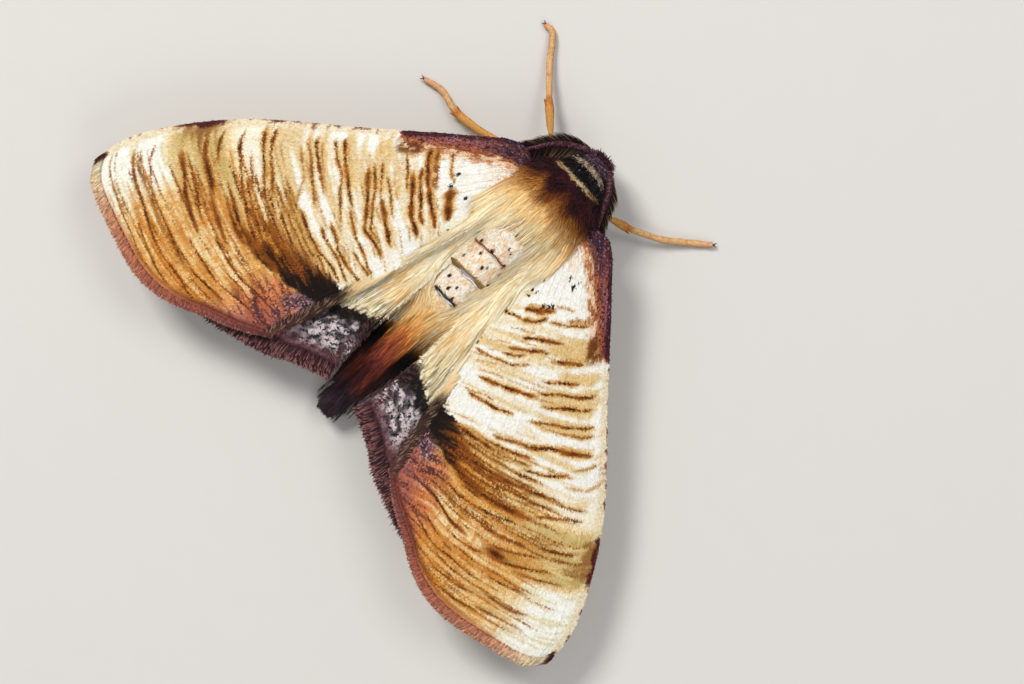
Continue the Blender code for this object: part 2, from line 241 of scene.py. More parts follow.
RIGHT_LINES = [
    (0.005, 0.8, (0.2, 0.269), (0.3, 0.273), (0.45, 0.272)),
    (0.005, 0.4, (0.3, 0.238), (0.43, 0.232)),
    (0.014, 0.9, (0.45, 0.245), (0.6, 0.255), (0.72, 0.262)),
    (0.01, 1.1, (0.49, 0.268), (0.55, 0.277), (0.6, 0.285), (0.7, 0.293)),
    (0.008, 0.6, (0.7, 0.293), (0.82, 0.293), (0.92, 0.292)),
    (0.008, 1.0, (0.33, 0.315), (0.48, 0.318), (0.62, 0.33)),
    (0.008, 0.9, (0.18, 0.35), (0.34, 0.355)),
    (0.008, 0.8, (0.4, 0.342), (0.47, 0.345), (0.6, 0.36), (0.7, 0.375)),
    (0.007, 0.7, (0.55, 0.365), (0.62, 0.38), (0.73, 0.396)),
    (0.006, 1.0, (0.2, 0.39), (0.37, 0.403)),
    (0.006, 1.0, (0.1, 0.412), (0.27, 0.42), (0.38, 0.43)),
    (0.006, 1.0, (0.12, 0.438), (0.25, 0.445), (0.35, 0.457)),
    (0.009, 1.1, (0.4, 0.44), (0.5, 0.447), (0.6, 0.458), (0.7, 0.475), (0.8, 0.49)),
    (0.005, 0.7, (0.5, 0.38), (0.6, 0.4), (0.77, 0.422), (0.95, 0.437)),
    (0.006, 0.9, (0.1, 0.473), (0.3, 0.487), (0.38, 0.494)),
    (0.007, 1.0, (0.5, 0.5), (0.6, 0.515), (0.7, 0.53), (0.81, 0.545)),
    (0.006, 0.7, (0.1, 0.492), (0.28, 0.5)),
    (0.01, 1.1, (0.1, 0.53), (0.27, 0.535), (0.33, 0.545), (0.38, 0.55)),
    (0.007, 0.8, (0.38, 0.55), (0.45, 0.555), (0.55, 0.57)),
    (0.005, 0.4, (0.05, 0.55), (0.18, 0.565)),
    (0.005, 0.9, (0.2, 0.577), (0.27, 0.59), (0.37, 0.6)),
    (0.005, 0.4, (0.02, 0.587), (0.1, 0.597), (0.2, 0.6)),
    (0.006, 1.0, (0.35, 0.57), (0.5, 0.582), (0.6, 0.595)),
    (0.01, 1.1, (0.53, 0.597), (0.6, 0.605), (0.7, 0.623), (0.77, 0.635)),
    (0.008, 1.0, (0.27, 0.632), (0.43, 0.638), (0.57, 0.65), (0.62, 0.66)),
    (0.005, 0.7, (0.25, 0.65), (0.36, 0.662)),
    (0.004, 0.7, (0.33, 0.643), (0.45, 0.658)),
    (0.005, 0.8, (0.12, 0.655), (0.2, 0.66), (0.3, 0.68)),
    (0.012, 1.0, (0.3, 0.685), (0.45, 0.69), (0.52, 0.696)),
    (0.005, 1.0, (0.35, 0.705), (0.42, 0.713), (0.5, 0.722), (0.62, 0.743), (0.68, 0.75)),
    (0.008, 0.8, (0.12, 0.715), (0.25, 0.727)),
    (0.005, 0.6, (0.1, 0.732), (0.2, 0.735)),
    (0.006, 0.9, (0.3, 0.737), (0.45, 0.747)),
    (0.006, 0.9, (0.2, 0.76), (0.27, 0.775), (0.4, 0.795)),
    (0.019, 0.9, (0.34, 0.777), (0.41, 0.781)),
    (0.006, 0.6, (0.25, 0.745), (0.4, 0.77)),
    (0.005, 0.7, (0.15, 0.775), (0.3, 0.793)),
    (0.01, 1.1, (0.5, 0.787), (0.6, 0.8), (0.7, 0.81), (0.8, 0.84), (0.85, 0.85)),
    (0.005, 0.9, (0.42, 0.797), (0.57, 0.82)),
    (0.006, 0.6, (0.25, 0.825), (0.37, 0.835)),
    (0.006, 0.9, (0.4, 0.855), (0.5, 0.86), (0.6, 0.885), (0.77, 0.915)),
    (0.005, 0.7, (0.4, 0.87), (0.57, 0.89)),
    (0.006, 0.8, (0.52, 0.845), (0.7, 0.87)),
    (0.009, 0.6, (0.22, 0.867), (0.27, 0.877), (0.35, 0.873)),
    (0.008, 0.7, (0.22, 0.907), (0.35, 0.915)),
    (0.008, 0.9, (0.4, 0.893), (0.55, 0.92)),
    (0.007, 0.8, (0.35, 0.925), (0.5, 0.945), (0.57, 0.96)),
    (0.005, 0.6, (0.2, 0.964), (0.45, 0.967)),
]
# Black dots: from costa, from root, size.
LEFT_DOTS = [
    (0.34, 0.214, 0.1), (0.43, 0.232, 0.15), (0.5, 0.223, 0.12), (0.575, 0.197, 0.13),
    (0.77, 0.186, 0.13), (0.84, 0.192, 0.22), (0.86, 0.262, 0.14), (0.98, 0.262, 0.1),
]
RIGHT_DOTS = [
    (0.305, 0.18, 0.09), (0.345, 0.188, 0.12), (0.385, 0.172, 0.1), (0.47, 0.235, 0.12),
    (0.51, 0.237, 0.17), (0.56, 0.239, 0.14), (0.67, 0.174, 0.17), (0.69, 0.21, 0.13),
    (0.75, 0.205, 0.15), (0.76, 0.228, 0.12), (0.91, 0.178, 0.22), (0.8, 0.291, 0.1),
    (0.85, 0.292, 0.09), (0.89, 0.292, 0.11), (0.97, 0.4, 0.09), (0.97, 0.42, 0.09),
]
IVORY = (255, 252, 243)  # the ground colour of the wing
BEIGE = (230, 190, 118)  # what lies along the cross lines
LINE_GOLD = (206, 126, 40)
LINE_BROWN = (172, 96, 24)
LINE_DARK = (64, 28, 6)
ROSY_BROWN = (128, 66, 52)  # what the lines turn into in the rosy corner
ROSY_DARK = (56, 24, 30)
DOT_BLACK = (24, 16, 12)
UNDERSIDE = (226, 196, 146)
# Beige bars of each forewing that carry no dark line: width, strength, places as for the lines.
LEFT_BARS = [
    (0.034, 0.75, (0.09, 0.372), (0.25, 0.376), (0.385, 0.38)),
    (0.012, 0.7, (0.36, 0.352), (0.45, 0.356)),
    (0.014, 0.75, (0.05, 0.49), (0.25, 0.496), (0.42, 0.505)),
    (0.016, 0.8, (0.05, 0.522), (0.2, 0.524), (0.36, 0.532)),
    (0.009, 0.6, (0.36, 0.54), (0.6, 0.556), (0.8, 0.585)),
    (0.014, 0.7, (0.04, 0.603), (0.25, 0.612), (0.4, 0.622)),
    (0.012, 0.6, (0.4, 0.592), (0.6, 0.606), (0.8, 0.622)),
    (0.01, 0.5, (0.45, 0.475), (0.7, 0.5), (0.9, 0.535)),
    (0.008, 0.5, (0.55, 0.395), (0.75, 0.415), (0.97, 0.425)),
    (0.01, 0.6, (0.1, 0.443), (0.3, 0.44)),
    (0.012, 0.6, (0.72, 0.315), (0.85, 0.318), (0.99, 0.322)),
    (0.01, 0.6, (0.75, 0.285), (0.88, 0.288), (0.99, 0.296)),
    (0.01, 0.5, (0.78, 0.345), (0.9, 0.35), (0.99, 0.356)),
    (0.008, 0.4, (0.8, 0.23), (0.9, 0.236), (0.99, 0.24)),
]
RIGHT_BARS = [
    (0.045, 0.75, (0.12, 0.32), (0.25, 0.322), (0.385, 0.325)),
    (0.03, 0.6, (0.06, 0.375), (0.2, 0.38), (0.3, 0.385)),
    (0.022, 0.8, (0.08, 0.435), (0.2, 0.44), (0.365, 0.45)),
    (0.018, 0.75, (0.1, 0.488), (0.25, 0.494), (0.36, 0.5)),
    (0.012, 0.6, (0.08, 0.52), (0.25, 0.527)),
    (0.016, 0.6, (0.08, 0.41), (0.2, 0.415)),
    (0.02, 0.6, (0.4, 0.348), (0.6, 0.362), (0.8, 0.392), (0.99, 0.42)),
    (0.022, 0.6, (0.7, 0.38), (0.85, 0.392), (0.99, 0.398)),
    (0.012, 0.6, (0.62, 0.34), (0.8, 0.35), (0.99, 0.362)),
    (0.01, 0.6, (0.44, 0.41), (0.65, 0.43), (0.9, 0.465)),
    (0.01, 0.5, (0.42, 0.48), (0.6, 0.492), (0.9, 0.54)),
    (0.01, 0.5, (0.82, 0.59), (0.9, 0.6), (0.99, 0.615)),
    (0.014, 0.6, (0.35, 0.59), (0.55, 0.6), (0.75, 0.622)),
    (0.016, 0.6, (0.1, 0.625), (0.3, 0.64)),
    (0.014, 0.6, (0.74, 0.265), (0.88, 0.268), (0.99, 0.272)),
    (0.016, 0.6, (0.7, 0.215), (0.85, 0.222), (0.99, 0.226)),
]
# Brown patches near the root: from root, half width, first and last from costa, and slant.
LEFT_PATCHES = [(0.245, 0.015, 0.46, 0.75, 0.1), (0.268, 0.014, 0.15, 0.42, 0.02)]
RIGHT_PATCHES = [(0.25, 0.011, 0.45, 0.72, 0.05), (0.262, 0.008, 0.16, 0.32, 0.02)]
# How far the dark root reaches back from the costa, at several places from the root.
DARK_ROOT_LIMIT = (
    [0.0, 0.05, 0.12, 0.17, 0.22, 0.3, 0.335, 0.355],
    [0.3, 0.27, 0.235, 0.2, 0.165, 0.125, 0.12, 0.0],
)
# An ivory streak between the lines of the right wing, at several places from the costa.
RIGHT_STREAK = ([0.4, 0.54, 0.95], [0.507, 0.53, 0.598])
# Where the scorched band begins and ends at several places from costa to inner margin.
SCORCH_PLACES = [0.36, 0.45, 0.55, 0.65, 0.75, 0.85, 1.0]
SCORCH = {
    1: ([0.675, 0.64, 0.622, 0.622, 0.628, 0.632, 0.645],
        [0.69, 0.702, 0.712, 0.718, 0.726, 0.722, 0.704]),
    -1: ([0.68, 0.672, 0.66, 0.642, 0.632, 0.632, 0.642],
         [0.69, 0.698, 0.706, 0.716, 0.724, 0.712, 0.696]),
}


def along(points, t):
    """Points of a smooth curve through evenly weighted points, at each t from 0 to 1."""
    points = np.array(points, float)
    spans = len(points) - 1
    padded = np.vstack([2 * points[0] - points[1], points, 2 * points[-1] - points[-2]])
    t = np.clip(np.asarray(t, float), 0, 1) * spans
    first = np.minimum(t.astype(int), spans - 1)
    s = (t - first)[..., None]
    a, b, c, d = (padded[first + k] for k in range(4))
    return b + 0.5 * s * (c - a + s * (2 * a - 5 * b + 4 * c - d + s * (3 * b - a - 3 * c + d)))


def fade(x, start, end):
    """0 at start, 1 at end, and smooth between."""
    t = np.clip((x - start) / (end - start), 0, 1)
    return t * t * (3 - 2 * t)


def till(x, start, end):
    """1 up to start, 0 from end on, and smooth between."""
    return 1 - fade(x, start, end)


def band(x, start, end, soft):
    """1 between start and end, with soft edges."""
    return fade(x, start - soft, start + soft) * till(x, end - soft, end + soft)


def cloud(u, v, cells_u, cells_v, seed):
    """Soft random values from 0 to 1, with so many cells over the unit square."""
    values = np.random.default_rng(seed).random((cells_u + 3, cells_v + 3))
    x, y = np.clip(u, 0, 1) * cells_u, np.clip(v, 0, 1) * cells_v
    i, j = x.astype(int), y.astype(int)
    s, t = fade(x - i, 0, 1), fade(y - j, 0, 1)
    low = values[i, j] * (1 - s) + values[i + 1, j] * s
    high = values[i, j + 1] * (1 - s) + values[i + 1, j + 1] * s
    return low * (1 - t) + high * t


def two_clouds(u, v, cells, more_cells, seeds, share=0.6):
    """A coarse cloud and a finer one, mixed."""
    coarse = cloud(u, v, *cells, seeds[0])
    return share * coarse + (1 - share) * cloud(u, v, *more_cells, seeds[1])


def lay(colours, shade, share):
    """Paints a shade over the colours, as thickly as share says."""
    share = np.clip(share, 0, 1)[:, None]
    return colours * (1 - share) + np.array(shade, float) * share


def stain(colours, what_is_left, share):
    """Darkens the colours as a stain does."""
    share = np.clip(share, 0, 1.3)[:, None]
    return colours * np.maximum(1 - share * (1 - np.array(what_is_left)), 0.03)


def all_over(shade, places):
    """The same shade at each of the places."""
    return np.tile(np.array(shade, float), (len(places), 1))


def linear(colours):
    """Linear values of colours named from 0 to 255."""
    c = np.clip(colours, 0, 255) / 255
    return np.where(c <= 0.04045, c / 12.92, ((c + 0.055) / 1.055) ** 2.4)


def wing_point(outline, side, u, v, above=0.0):
    """A place on a wing: u runs from the root outwards, v from the costa to the inner margin."""
    costa, inner, termen = outline["costa"], outline["inner"], outline["termen"]
    u, v = np.asarray(u, float), np.asarray(v, float)
    s, t = u[..., None], v[..., None]
    between = (1 - t) * along(costa, u) + t * along(inner, u)
    across = (1 - s) * along([costa[0], inner[0]], v) + s * along(termen, v)
    near = (1 - t) * np.array(costa[0]) + t * np.array(inner[0])
    far = (1 - t) * np.array(termen[0]) + t * np.array(termen[-1])
    plan = between + across - (1 - s) * near - s * far
    height = outline["level"] - DROOP * plan[..., 0] - COSTA_ROLL * (1 - v) ** 6
    height = height + CAMBER * np.sin(np.pi * v) * np.sin(np.pi * (0.1 + 0.85 * u))
    for root, end in FOREWING_VEINS:
        height = height + 0.016 * np.exp(-(((v - root - (end - root) * u) / 0.006) ** 2))
    height = height + 0.02 * np.sin(17 * u + 6 * v) * np.sin(13 * v + 2)
    return np.stack([side * plan[..., 0], plan[..., 1], height + above], axis=-1)


LEAN_SPOTS = 6  # places in a line that leans like its neighbours


def line_lean(u, v):
    """How far a cross line that starts at the costa has leaned outwards at a place on the wing."""
    t = np.clip((v - 0.3) / 0.6, 0, 1)
    reach = 0.1 + 0.24 * fade(u, 0.15, 0.85) + 0.2 * fade(u, 0.72, 0.92)
    return reach * (0.6 * (t**3 - t**4 / 2) + np.maximum(v - 0.9, 0))


def leaning(at, start, end):
    """Places of a line that starts at the costa at so much from the root."""
    places = []
    for k in range(LEAN_SPOTS):
        across = start + (end - start) * k / (LEAN_SPOTS - 1)
        places.append((across, at + float(line_lean(np.array(at + 0.03), np.array(across)))))
    return places


class ForewingPattern:
    """Places on a forewing, the noise that frays its markings, and the colours laid on so far."""

    def __init__(self, side, u, v):
        seed = 10 if side > 0 else 50
        self.side, self.left, self.u, self.v = side, side > 0, u, v
        self.rng = np.random.default_rng(seed + 6)
        self.w = u - line_lean(u, v) + 0.004 * (cloud(u, v, 31, 19, seed + 12) - 0.5)
        self.grain = cloud(u, v, 420, 260, seed + 4)
        self.mottle = two_clouds(u, v, (70, 40), (150, 90), (seed, seed + 8))
        self.drift = two_clouds(u, v, (17, 11), (37, 23), (seed + 1, seed + 9))
        self.bars = two_clouds(self.w, v, (52, 4), (97, 7), (seed + 2, seed + 10))
        self.fine_bars = two_clouds(self.w, v, (150, 9), (290, 14), (seed + 3, seed + 11))
        self.hatch = cloud(u, v, 44, 170, seed + 7)
        self.ticks = two_clouds(u, v, (110, 3), (230, 5), (seed + 5, seed + 13), 0.5)
        self.rays = 0.6 * cloud(v, u, 120, 10, seed + 14) + 0.4 * self.grain
        self.c = all_over(IVORY, u)

    def paint(self, shade, share):
        """Lays a shade over the wing, as thickly as share says."""
        self.c = lay(self.c, shade, share)

    def draw(self, places, width, strength, kind):
        """Draws one cross line through its places, given as (from costa, from root)."""
        path = along([(p[0], p[1], 0) for p in places], np.linspace(0, 1, 30))
        vs, us = np.maximum.accumulate(path[:, 0]), path[:, 1]
        sway = self.rng.uniform(0, 6.28, 5)
        reach = width * 3 + 0.012
        near = (self.v > vs[0] - 0.02) & (self.v < vs[-1] + 0.02)
        near &= (self.u > us.min() - reach) & (self.u < us.max() + reach)
        if not near.any():
            return
        u, v, grain, mottle = self.u[near], self.v[near], self.grain[near], self.mottle[near]
        centre = np.interp(v, vs, us) + 0.0006 * np.sin(v * 47 + sway[0])
        off = np.abs(u - centre) + 0.0022 * (grain - 0.5) + 0.0016 * (mottle - 0.5)
        ends = band(v, vs[0], vs[-1], 0.03)
        breadth = width * (0.45 + 0.55 * ends) * (0.9 + 0.22 * np.sin(v * 38 + sway[2]))
        c = self.c[near]
        if kind == "bar":
            share = ends * till(off, breadth * 0.3, breadth * 0.62)
            c = lay(c, BEIGE, share * strength * (0.75 + 0.4 * mottle))
        elif kind == "gold":
            c = lay(c, LINE_GOLD, ends * till(off, breadth * 0.2, breadth * 0.8) * strength)
        else:
            halo = ends * till(off, breadth * 0.7, breadth * 1.1 + 0.005)
            c = lay(c, BEIGE, halo * till(u, 0.6, 0.66) * strength * 0.75)
            rosy = (fade(v, 0.62, 0.8) * fade(u, 0.7, 0.76))[:, None]
            brown = np.array(LINE_BROWN) * (1 - rosy) + np.array(ROSY_BROWN) * rosy
            deep = np.array(LINE_DARK) * (1 - rosy) + np.array(ROSY_DARK) * rosy
            share = ends * till(off, breadth * 0.38, breadth * 0.72 + 0.001)
            c = lay(c, brown, share * min(strength, 1))
            dark = 0.72 + 0.32 * np.sin(v * 23 + sway[3]) + 0.25 * np.sin(v * 61 + sway[4])
            share = ends * np.clip(dark, 0, 1)
            share = share * till(off, breadth * 0.12, breadth * 0.46 + 0.0006)
            c = lay(c, deep, share * min(strength, 1))
        self.c[near] = c


def paint_inner_half(wing):
    """Soft beige along the lines of the half nearest the body, and its plain bars."""
    u, v, w, rng = wing.u, wing.v, wing.w, wing.rng
    cream, pale_beige, soft_beige = (248, 232, 204), (244, 226, 188), (232, 204, 150)
    wing.paint(cream, 0.35 * fade(wing.mottle, 0.5, 0.8))
    inside = band(w, 0.27, 0.61, 0.02)
    wing.paint(pale_beige, inside * fade(wing.bars, 0.42, 0.62) * 0.75)
    front = band(v + 0.06 * (wing.drift - 0.5), 0.03, 0.37, 0.04)
    wing.paint(soft_beige, inside * front * fade(wing.bars, 0.5, 0.64) * 0.8)
    for width, strength, *places in LEFT_BARS if wing.left else RIGHT_BARS:
        wing.draw(places, width, strength, "bar")
    for _ in range(26):
        at, first = rng.uniform(0.26, 0.6), rng.uniform(0.05, 0.6)
        places = leaning(at, first, first + rng.uniform(0.2, 0.4))
        wing.draw(places, rng.uniform(0.005, 0.009), rng.uniform(0.2, 0.5), "bar")
    straw, dark_straw, pale_straw = (236, 212, 166), (214, 182, 122), (246, 232, 198)
    wing.paint(straw, till(u, 0.02, 0.14) * fade(v, 0.3, 0.7))
    wing.paint(dark_straw, till(u, 0.0, 0.1) * fade(v, 0.4, 0.9) * 0.7)
    wing.paint(pale_straw, till(u, 0.3, 0.4) * fade(v, 0.72, 0.88) * 0.8)


def paint_golden_third(wing):
    """The golden outer third, with its white tip, and gold lines at random."""
    u, v, w, rng, bars, fine_bars = wing.u, wing.v, wing.w, wing.rng, wing.bars, wing.fine_bars
    light_gold, gold = (252, 226, 170), (232, 180, 96)
    olive_gold, dull_gold = (210, 180, 112), (222, 168, 88)
    outer = fade(w + 0.02 * (bars - 0.5), 0.6, 0.66)
    outer = outer * (0.35 + 0.65 * fade(v + 0.5 * fade(u, 0.64, 0.7), 0.25, 0.5))
    wing.paint(light_gold, outer)
    wing.paint(gold, outer * (0.25 + 0.65 * fade(bars, 0.38, 0.62)) * fade(v, 0.12, 0.4))
    front = 1 - fade(v, 0.26, 0.42)
    wing.paint(olive_gold, band(u, 0.68, 0.782, 0.014) * front * (0.55 + 0.5 * fade(bars, 0.4, 0.6)))
    wing.paint(dull_gold, band(u, 0.715, 0.782, 0.014) * band(v, 0.24, 0.42, 0.07) * 0.8)
    white, greenish_cream = (255, 252, 240), (232, 222, 176)
    tip = fade(u, 0.782, 0.8) * till(v + 0.08 * (wing.drift - 0.5), 0.2, 0.34)
    wing.paint(white, tip)
    wing.paint(greenish_cream, tip * fade(fine_bars, 0.52, 0.66) * 0.75)
    orange, deep_orange, amber = (232, 160, 72), (208, 120, 34), (226, 146, 58)
    edge = fade(v + 0.06 * (wing.drift - 0.5), 0.26, 0.56) * fade(u, 0.8, 0.93)
    wing.paint(orange, edge * (0.42 + 0.6 * bars))
    rear = fade(v, 0.5, 0.72) * fade(u, 0.78, 0.88)
    wing.paint(deep_orange, rear * (0.3 + 0.9 * fade(bars, 0.38, 0.62)) * 0.8)
    cream, bronze, butter = (255, 238, 198), (186, 124, 44), (255, 232, 184)
    wing.paint(cream, outer * band(v, 0.3, 0.82, 0.12) * fade(fine_bars, 0.56, 0.68) * 0.6)
    wing.paint(bronze, outer * band(v, 0.22, 0.9, 0.12) * till(fine_bars, 0.3, 0.42) * 0.5)
    wing.paint(butter, band(w, 0.722, 0.805, 0.012) * band(v, 0.4, 0.62, 0.05) * 0.75)
    wing.paint(amber, fade(u, 0.7, 0.75) * fade(wing.hatch, 0.6, 0.8) * fade(v, 0.2, 0.36) * 0.6)
    for _ in range(60):
        at, first = rng.uniform(0.62, 0.96), rng.uniform(0.15, 0.6)
        places = leaning(at, first, min(first + rng.uniform(0.15, 0.4), 0.97))
        wing.draw(places, rng.uniform(0.003, 0.008), rng.uniform(0.3, 0.8), "gold")


def paint_rosy_corner(wing):
    """The pink and mauve rear of the outer third."""
    u, v, bars, grain = wing.u, wing.v, wing.bars, wing.grain
    salmon, rust, mauve, copper = (236, 158, 112), (206, 108, 50), (146, 82, 84), (200, 112, 64)
    plum, pink, maroon = (66, 34, 44), (240, 196, 180), (96, 50, 52)
    rose = fade(v + 0.05 * (bars - 0.5), 0.62, 0.78) * fade(u, 0.72, 0.745)
    wing.paint(salmon, rose * 0.85)
    wing.paint(rust, rose * fade(bars, 0.42, 0.58) * 0.75)
    deep_rose = rose * fade(v + 0.4 * (u - 0.8), 0.74, 0.92)
    wing.paint(mauve, deep_rose * (0.55 + 0.5 * wing.mottle))
    wing.paint(copper, deep_rose * fade(wing.fine_bars, 0.6, 0.7) * 0.8)
    wing.paint(plum, rose * till(wing.fine_bars + 0.4 * (grain - 0.5), 0.28, 0.42) * 0.8)
    wing.paint(pink, rose * till(wing.w, 0.7, 0.74) * fade(grain, 0.62, 0.8) * 0.6)
    wing.paint(maroon, fade(v + 0.05 * (bars - 0.5), 0.5, 0.68) * fade(u, 0.925, 0.955) * 0.85)


def paint_scorch(wing):
    """The scorched band: lines that run together, wider and blacker towards the inner margin."""
    u, v, grain, mottle, fine_bars = wing.u, wing.v, wing.grain, wing.mottle, wing.fine_bars
    tan, brown, umber = (204, 134, 44), (128, 66, 8), (50, 21, 4)
    soot, black = (22, 12, 8), (26, 16, 16)
    begins, ends = SCORCH[wing.side]
    ragged = 0.9 * (fine_bars - 0.5) + 0.6 * (wing.bars - 0.5)
    start = np.interp(v, SCORCH_PLACES, begins) - 0.03 * ragged
    stop = np.interp(v, SCORCH_PLACES, ends) + 0.01 * ragged
    scorch = fade(u, start - 0.006, start + 0.006) * till(u, stop - 0.006, stop + 0.006)
    reach = scorch * fade(v + 0.4 * (fine_bars - 0.5), 0.38, 0.54)
    wing.paint(tan, reach * 0.95)
    depth = fine_bars + v - 0.5 + 1.5 * (u - start - 0.02)
    wing.paint(brown, reach * fade(depth, 0.36, 0.5) * 0.97)
    depth = fine_bars + 1.5 * (v - 0.62) + 1.2 * (u - start - 0.03)
    wing.paint(umber, reach * fade(depth, 0.44, 0.58) * 0.97)
    depth = v + 0.8 * (u - 0.68) + 0.3 * (fine_bars - 0.5) + 0.1 * (grain - 0.5)
    wing.paint(soot, scorch * fade(depth, 0.7, 0.84))
    wing.paint(black, band(u, 0.64, 0.722, 0.008) * fade(v + 0.04 * (mottle - 0.5), 0.9, 0.96) * 0.9)
    mauve, plum, painted_lilac_glint = (98, 66, 80), (26, 16, 22), (196, 170, 186)
    beyond = fade(u, stop - 0.012, stop + 0.012) * till(u + 0.04 * (mottle - 0.5), 0.765, 0.8)
    beyond = beyond * fade(v + 0.05 * (mottle - 0.5), 0.78, 0.86)
    wing.paint(mauve, beyond * 0.85)
    wing.paint(plum, beyond * till(grain, 0.34, 0.46) * 0.9)
    # painted highlights: pale lilac flecks stand in for glints of light on the purple grey scales
    wing.paint(painted_lilac_glint, beyond * fade(grain, 0.66, 0.76) * 0.85)


def paint_front_edge(wing):
    """The pale front edge with its brown ticks, and the dark spot before the tip."""
    u, v, mottle, fine_bars = wing.u, wing.v, wing.mottle, wing.fine_bars
    cream, tick_brown, bronze, maroon = (240, 222, 186), (128, 66, 52), (140, 88, 36), (72, 26, 24)
    strip = 1 - fade(v, 0.03, 0.06)
    wing.paint(cream, strip * fade(u, 0.345, 0.38) * 0.75)
    wing.paint(tick_brown, strip * band(u, 0.345, 0.66, 0.02) * fade(wing.ticks, 0.7, 0.82) * 0.7)
    spot = band(u + 0.02 * (mottle - 0.5), 0.698, 0.762, 0.008)
    wing.paint(bronze, spot * till(v + 0.22 * (fine_bars - 0.5), 0.05, 0.14) * 0.85)
    spot = band(u + 0.02 * (mottle - 0.5), 0.69, 0.775, 0.008)
    spot = spot * till(v + 0.04 * (fine_bars - 0.5), 0.016, 0.032)
    wing.paint(maroon, spot * fade(mottle, 0.05, 0.25))


def paint_dark_root(wing):
    """The purple brown root of the front edge, orange where it fades out."""
    u, v, grain, mottle = wing.u, wing.v, wing.grain, wing.mottle
    limit = np.interp(u, *DARK_ROOT_LIMIT) + 0.06 * (mottle - 0.5)
    peach, sienna, rose_brown, maroon = (226, 158, 104), (158, 84, 36), (118, 62, 62), (84, 40, 52)
    fringe_of_root = till(v, limit, limit + 0.09) * till(u, 0.335, 0.36)
    wing.paint(peach, fringe_of_root * 0.6)
    wing.paint(sienna, fringe_of_root * fade(mottle + 0.3 * (grain - 0.5), 0.42, 0.6) * 0.9)
    base = 1 - fade(v, limit - 0.03, limit + 0.005)
    wing.paint(rose_brown, base)
    wing.paint(maroon, base * fade(mottle, 0.5, 0.7) * 0.7)
    dusty_pink, orange, edge_maroon = (176, 104, 96), (200, 112, 52), (70, 28, 38)
    strip = band(u, 0.15, 0.335, 0.03) * band(v, 0.035, 0.11, 0.015)
    wing.paint(dusty_pink, base * strip * fade(mottle, 0.3, 0.6) * 0.8)
    strip = fade(v, limit - 0.075, limit - 0.02) * fade(u, 0.1, 0.18)
    wing.paint(orange, base * strip * (0.3 + 0.8 * fade(grain, 0.35, 0.6)))
    wing.paint(edge_maroon, base * till(v, 0.03, 0.05) * 0.9)
    bronze, purple, dark_purple, brown = (106, 56, 14), (54, 34, 54), (56, 34, 56), (120, 58, 36)
    blot = band(u, 0.297, 0.348, 0.01) * band(v, 0.09, 0.17, 0.015)
    wing.paint(bronze, blot * fade(mottle, 0.25, 0.5) * 0.9)
    wing.paint(purple, base * till(u, 0.1, 0.18) * (0.6 + 0.4 * mottle))
    wing.paint(dark_purple, base * till(u, 0.08, 0.2) * fade(grain, 0.58, 0.7) * 0.7)
    flecks = fade(mottle + 0.3 * (grain - 0.5), 0.58, 0.7)
    wing.paint(brown, base * till(u, 0.12, 0.3) * flecks * 0.7)
    painted_lilac_glint, plum, rust = (172, 148, 186), (24, 12, 20), (150, 78, 40)
    # painted highlights: pale lilac flecks stand in for glints of light on the dark root scales
    wing.paint(painted_lilac_glint, base * till(u, 0.25, 0.36) * fade(grain, 0.76, 0.86) * 0.6)
    wing.paint(plum, base * till(grain, 0.26, 0.38) * 0.85)
    wing.paint(rust, base * fade(v, limit - 0.1, limit - 0.02) * fade(mottle, 0.45, 0.6) * 0.7)
    apricot, brick, wine = (228, 160, 96), (186, 96, 60), (92, 44, 56)
    streaks = till(u, 0.08, 0.18) * band(v, 0.2, 0.46, 0.06)
    wing.paint(apricot, streaks * fade(wing.rays, 0.36, 0.6) * 0.8)
    streaks = fade(v, limit - 0.04, limit + 0.02) * till(u, 0.05, 0.13)
    wing.paint(brick, streaks * till(v, 0.4, 0.62) * fade(wing.rays, 0.5, 0.66) * 0.7)
    streaks = till(u, 0.02, 0.075) * till(v, 0.44, 0.66)
    wing.paint(wine, streaks * fade(wing.rays, 0.38, 0.56) * 0.85)


def paint_patches(wing):
    """The brown patches near the root, then darker and paler single scales all over."""
    u, v, grain = wing.u, wing.v, wing.grain
    tan, brown = (204, 146, 84), (146, 78, 22)
    single_brown, single_cream = (178, 122, 50), (255, 248, 226)
    for at, half, first, last, slope in LEFT_PATCHES if wing.left else RIGHT_PATCHES:
        away = np.abs(u - at - slope * (v - (first + last) / 2)) + 0.014 * (wing.mottle - 0.5)
        inside = band(v, first, last, 0.03) * till(away, half * 0.6, half)
        wing.paint(tan, inside * 0.7)
        wing.paint(brown, inside * fade(wing.mottle + 0.5 * (grain - 0.5), 0.4, 0.56) * 0.95)
    warm = np.clip((238 - wing.c[:, 2]) / 60, 0, 1) * np.clip((wing.c[:, 0] - 180) / 40, 0, 1)
    wing.paint(single_brown, warm * fade(grain, 0.66, 0.8) * 0.36)
    wing.paint(single_cream, warm * till(grain, 0.2, 0.34) * 0.36)


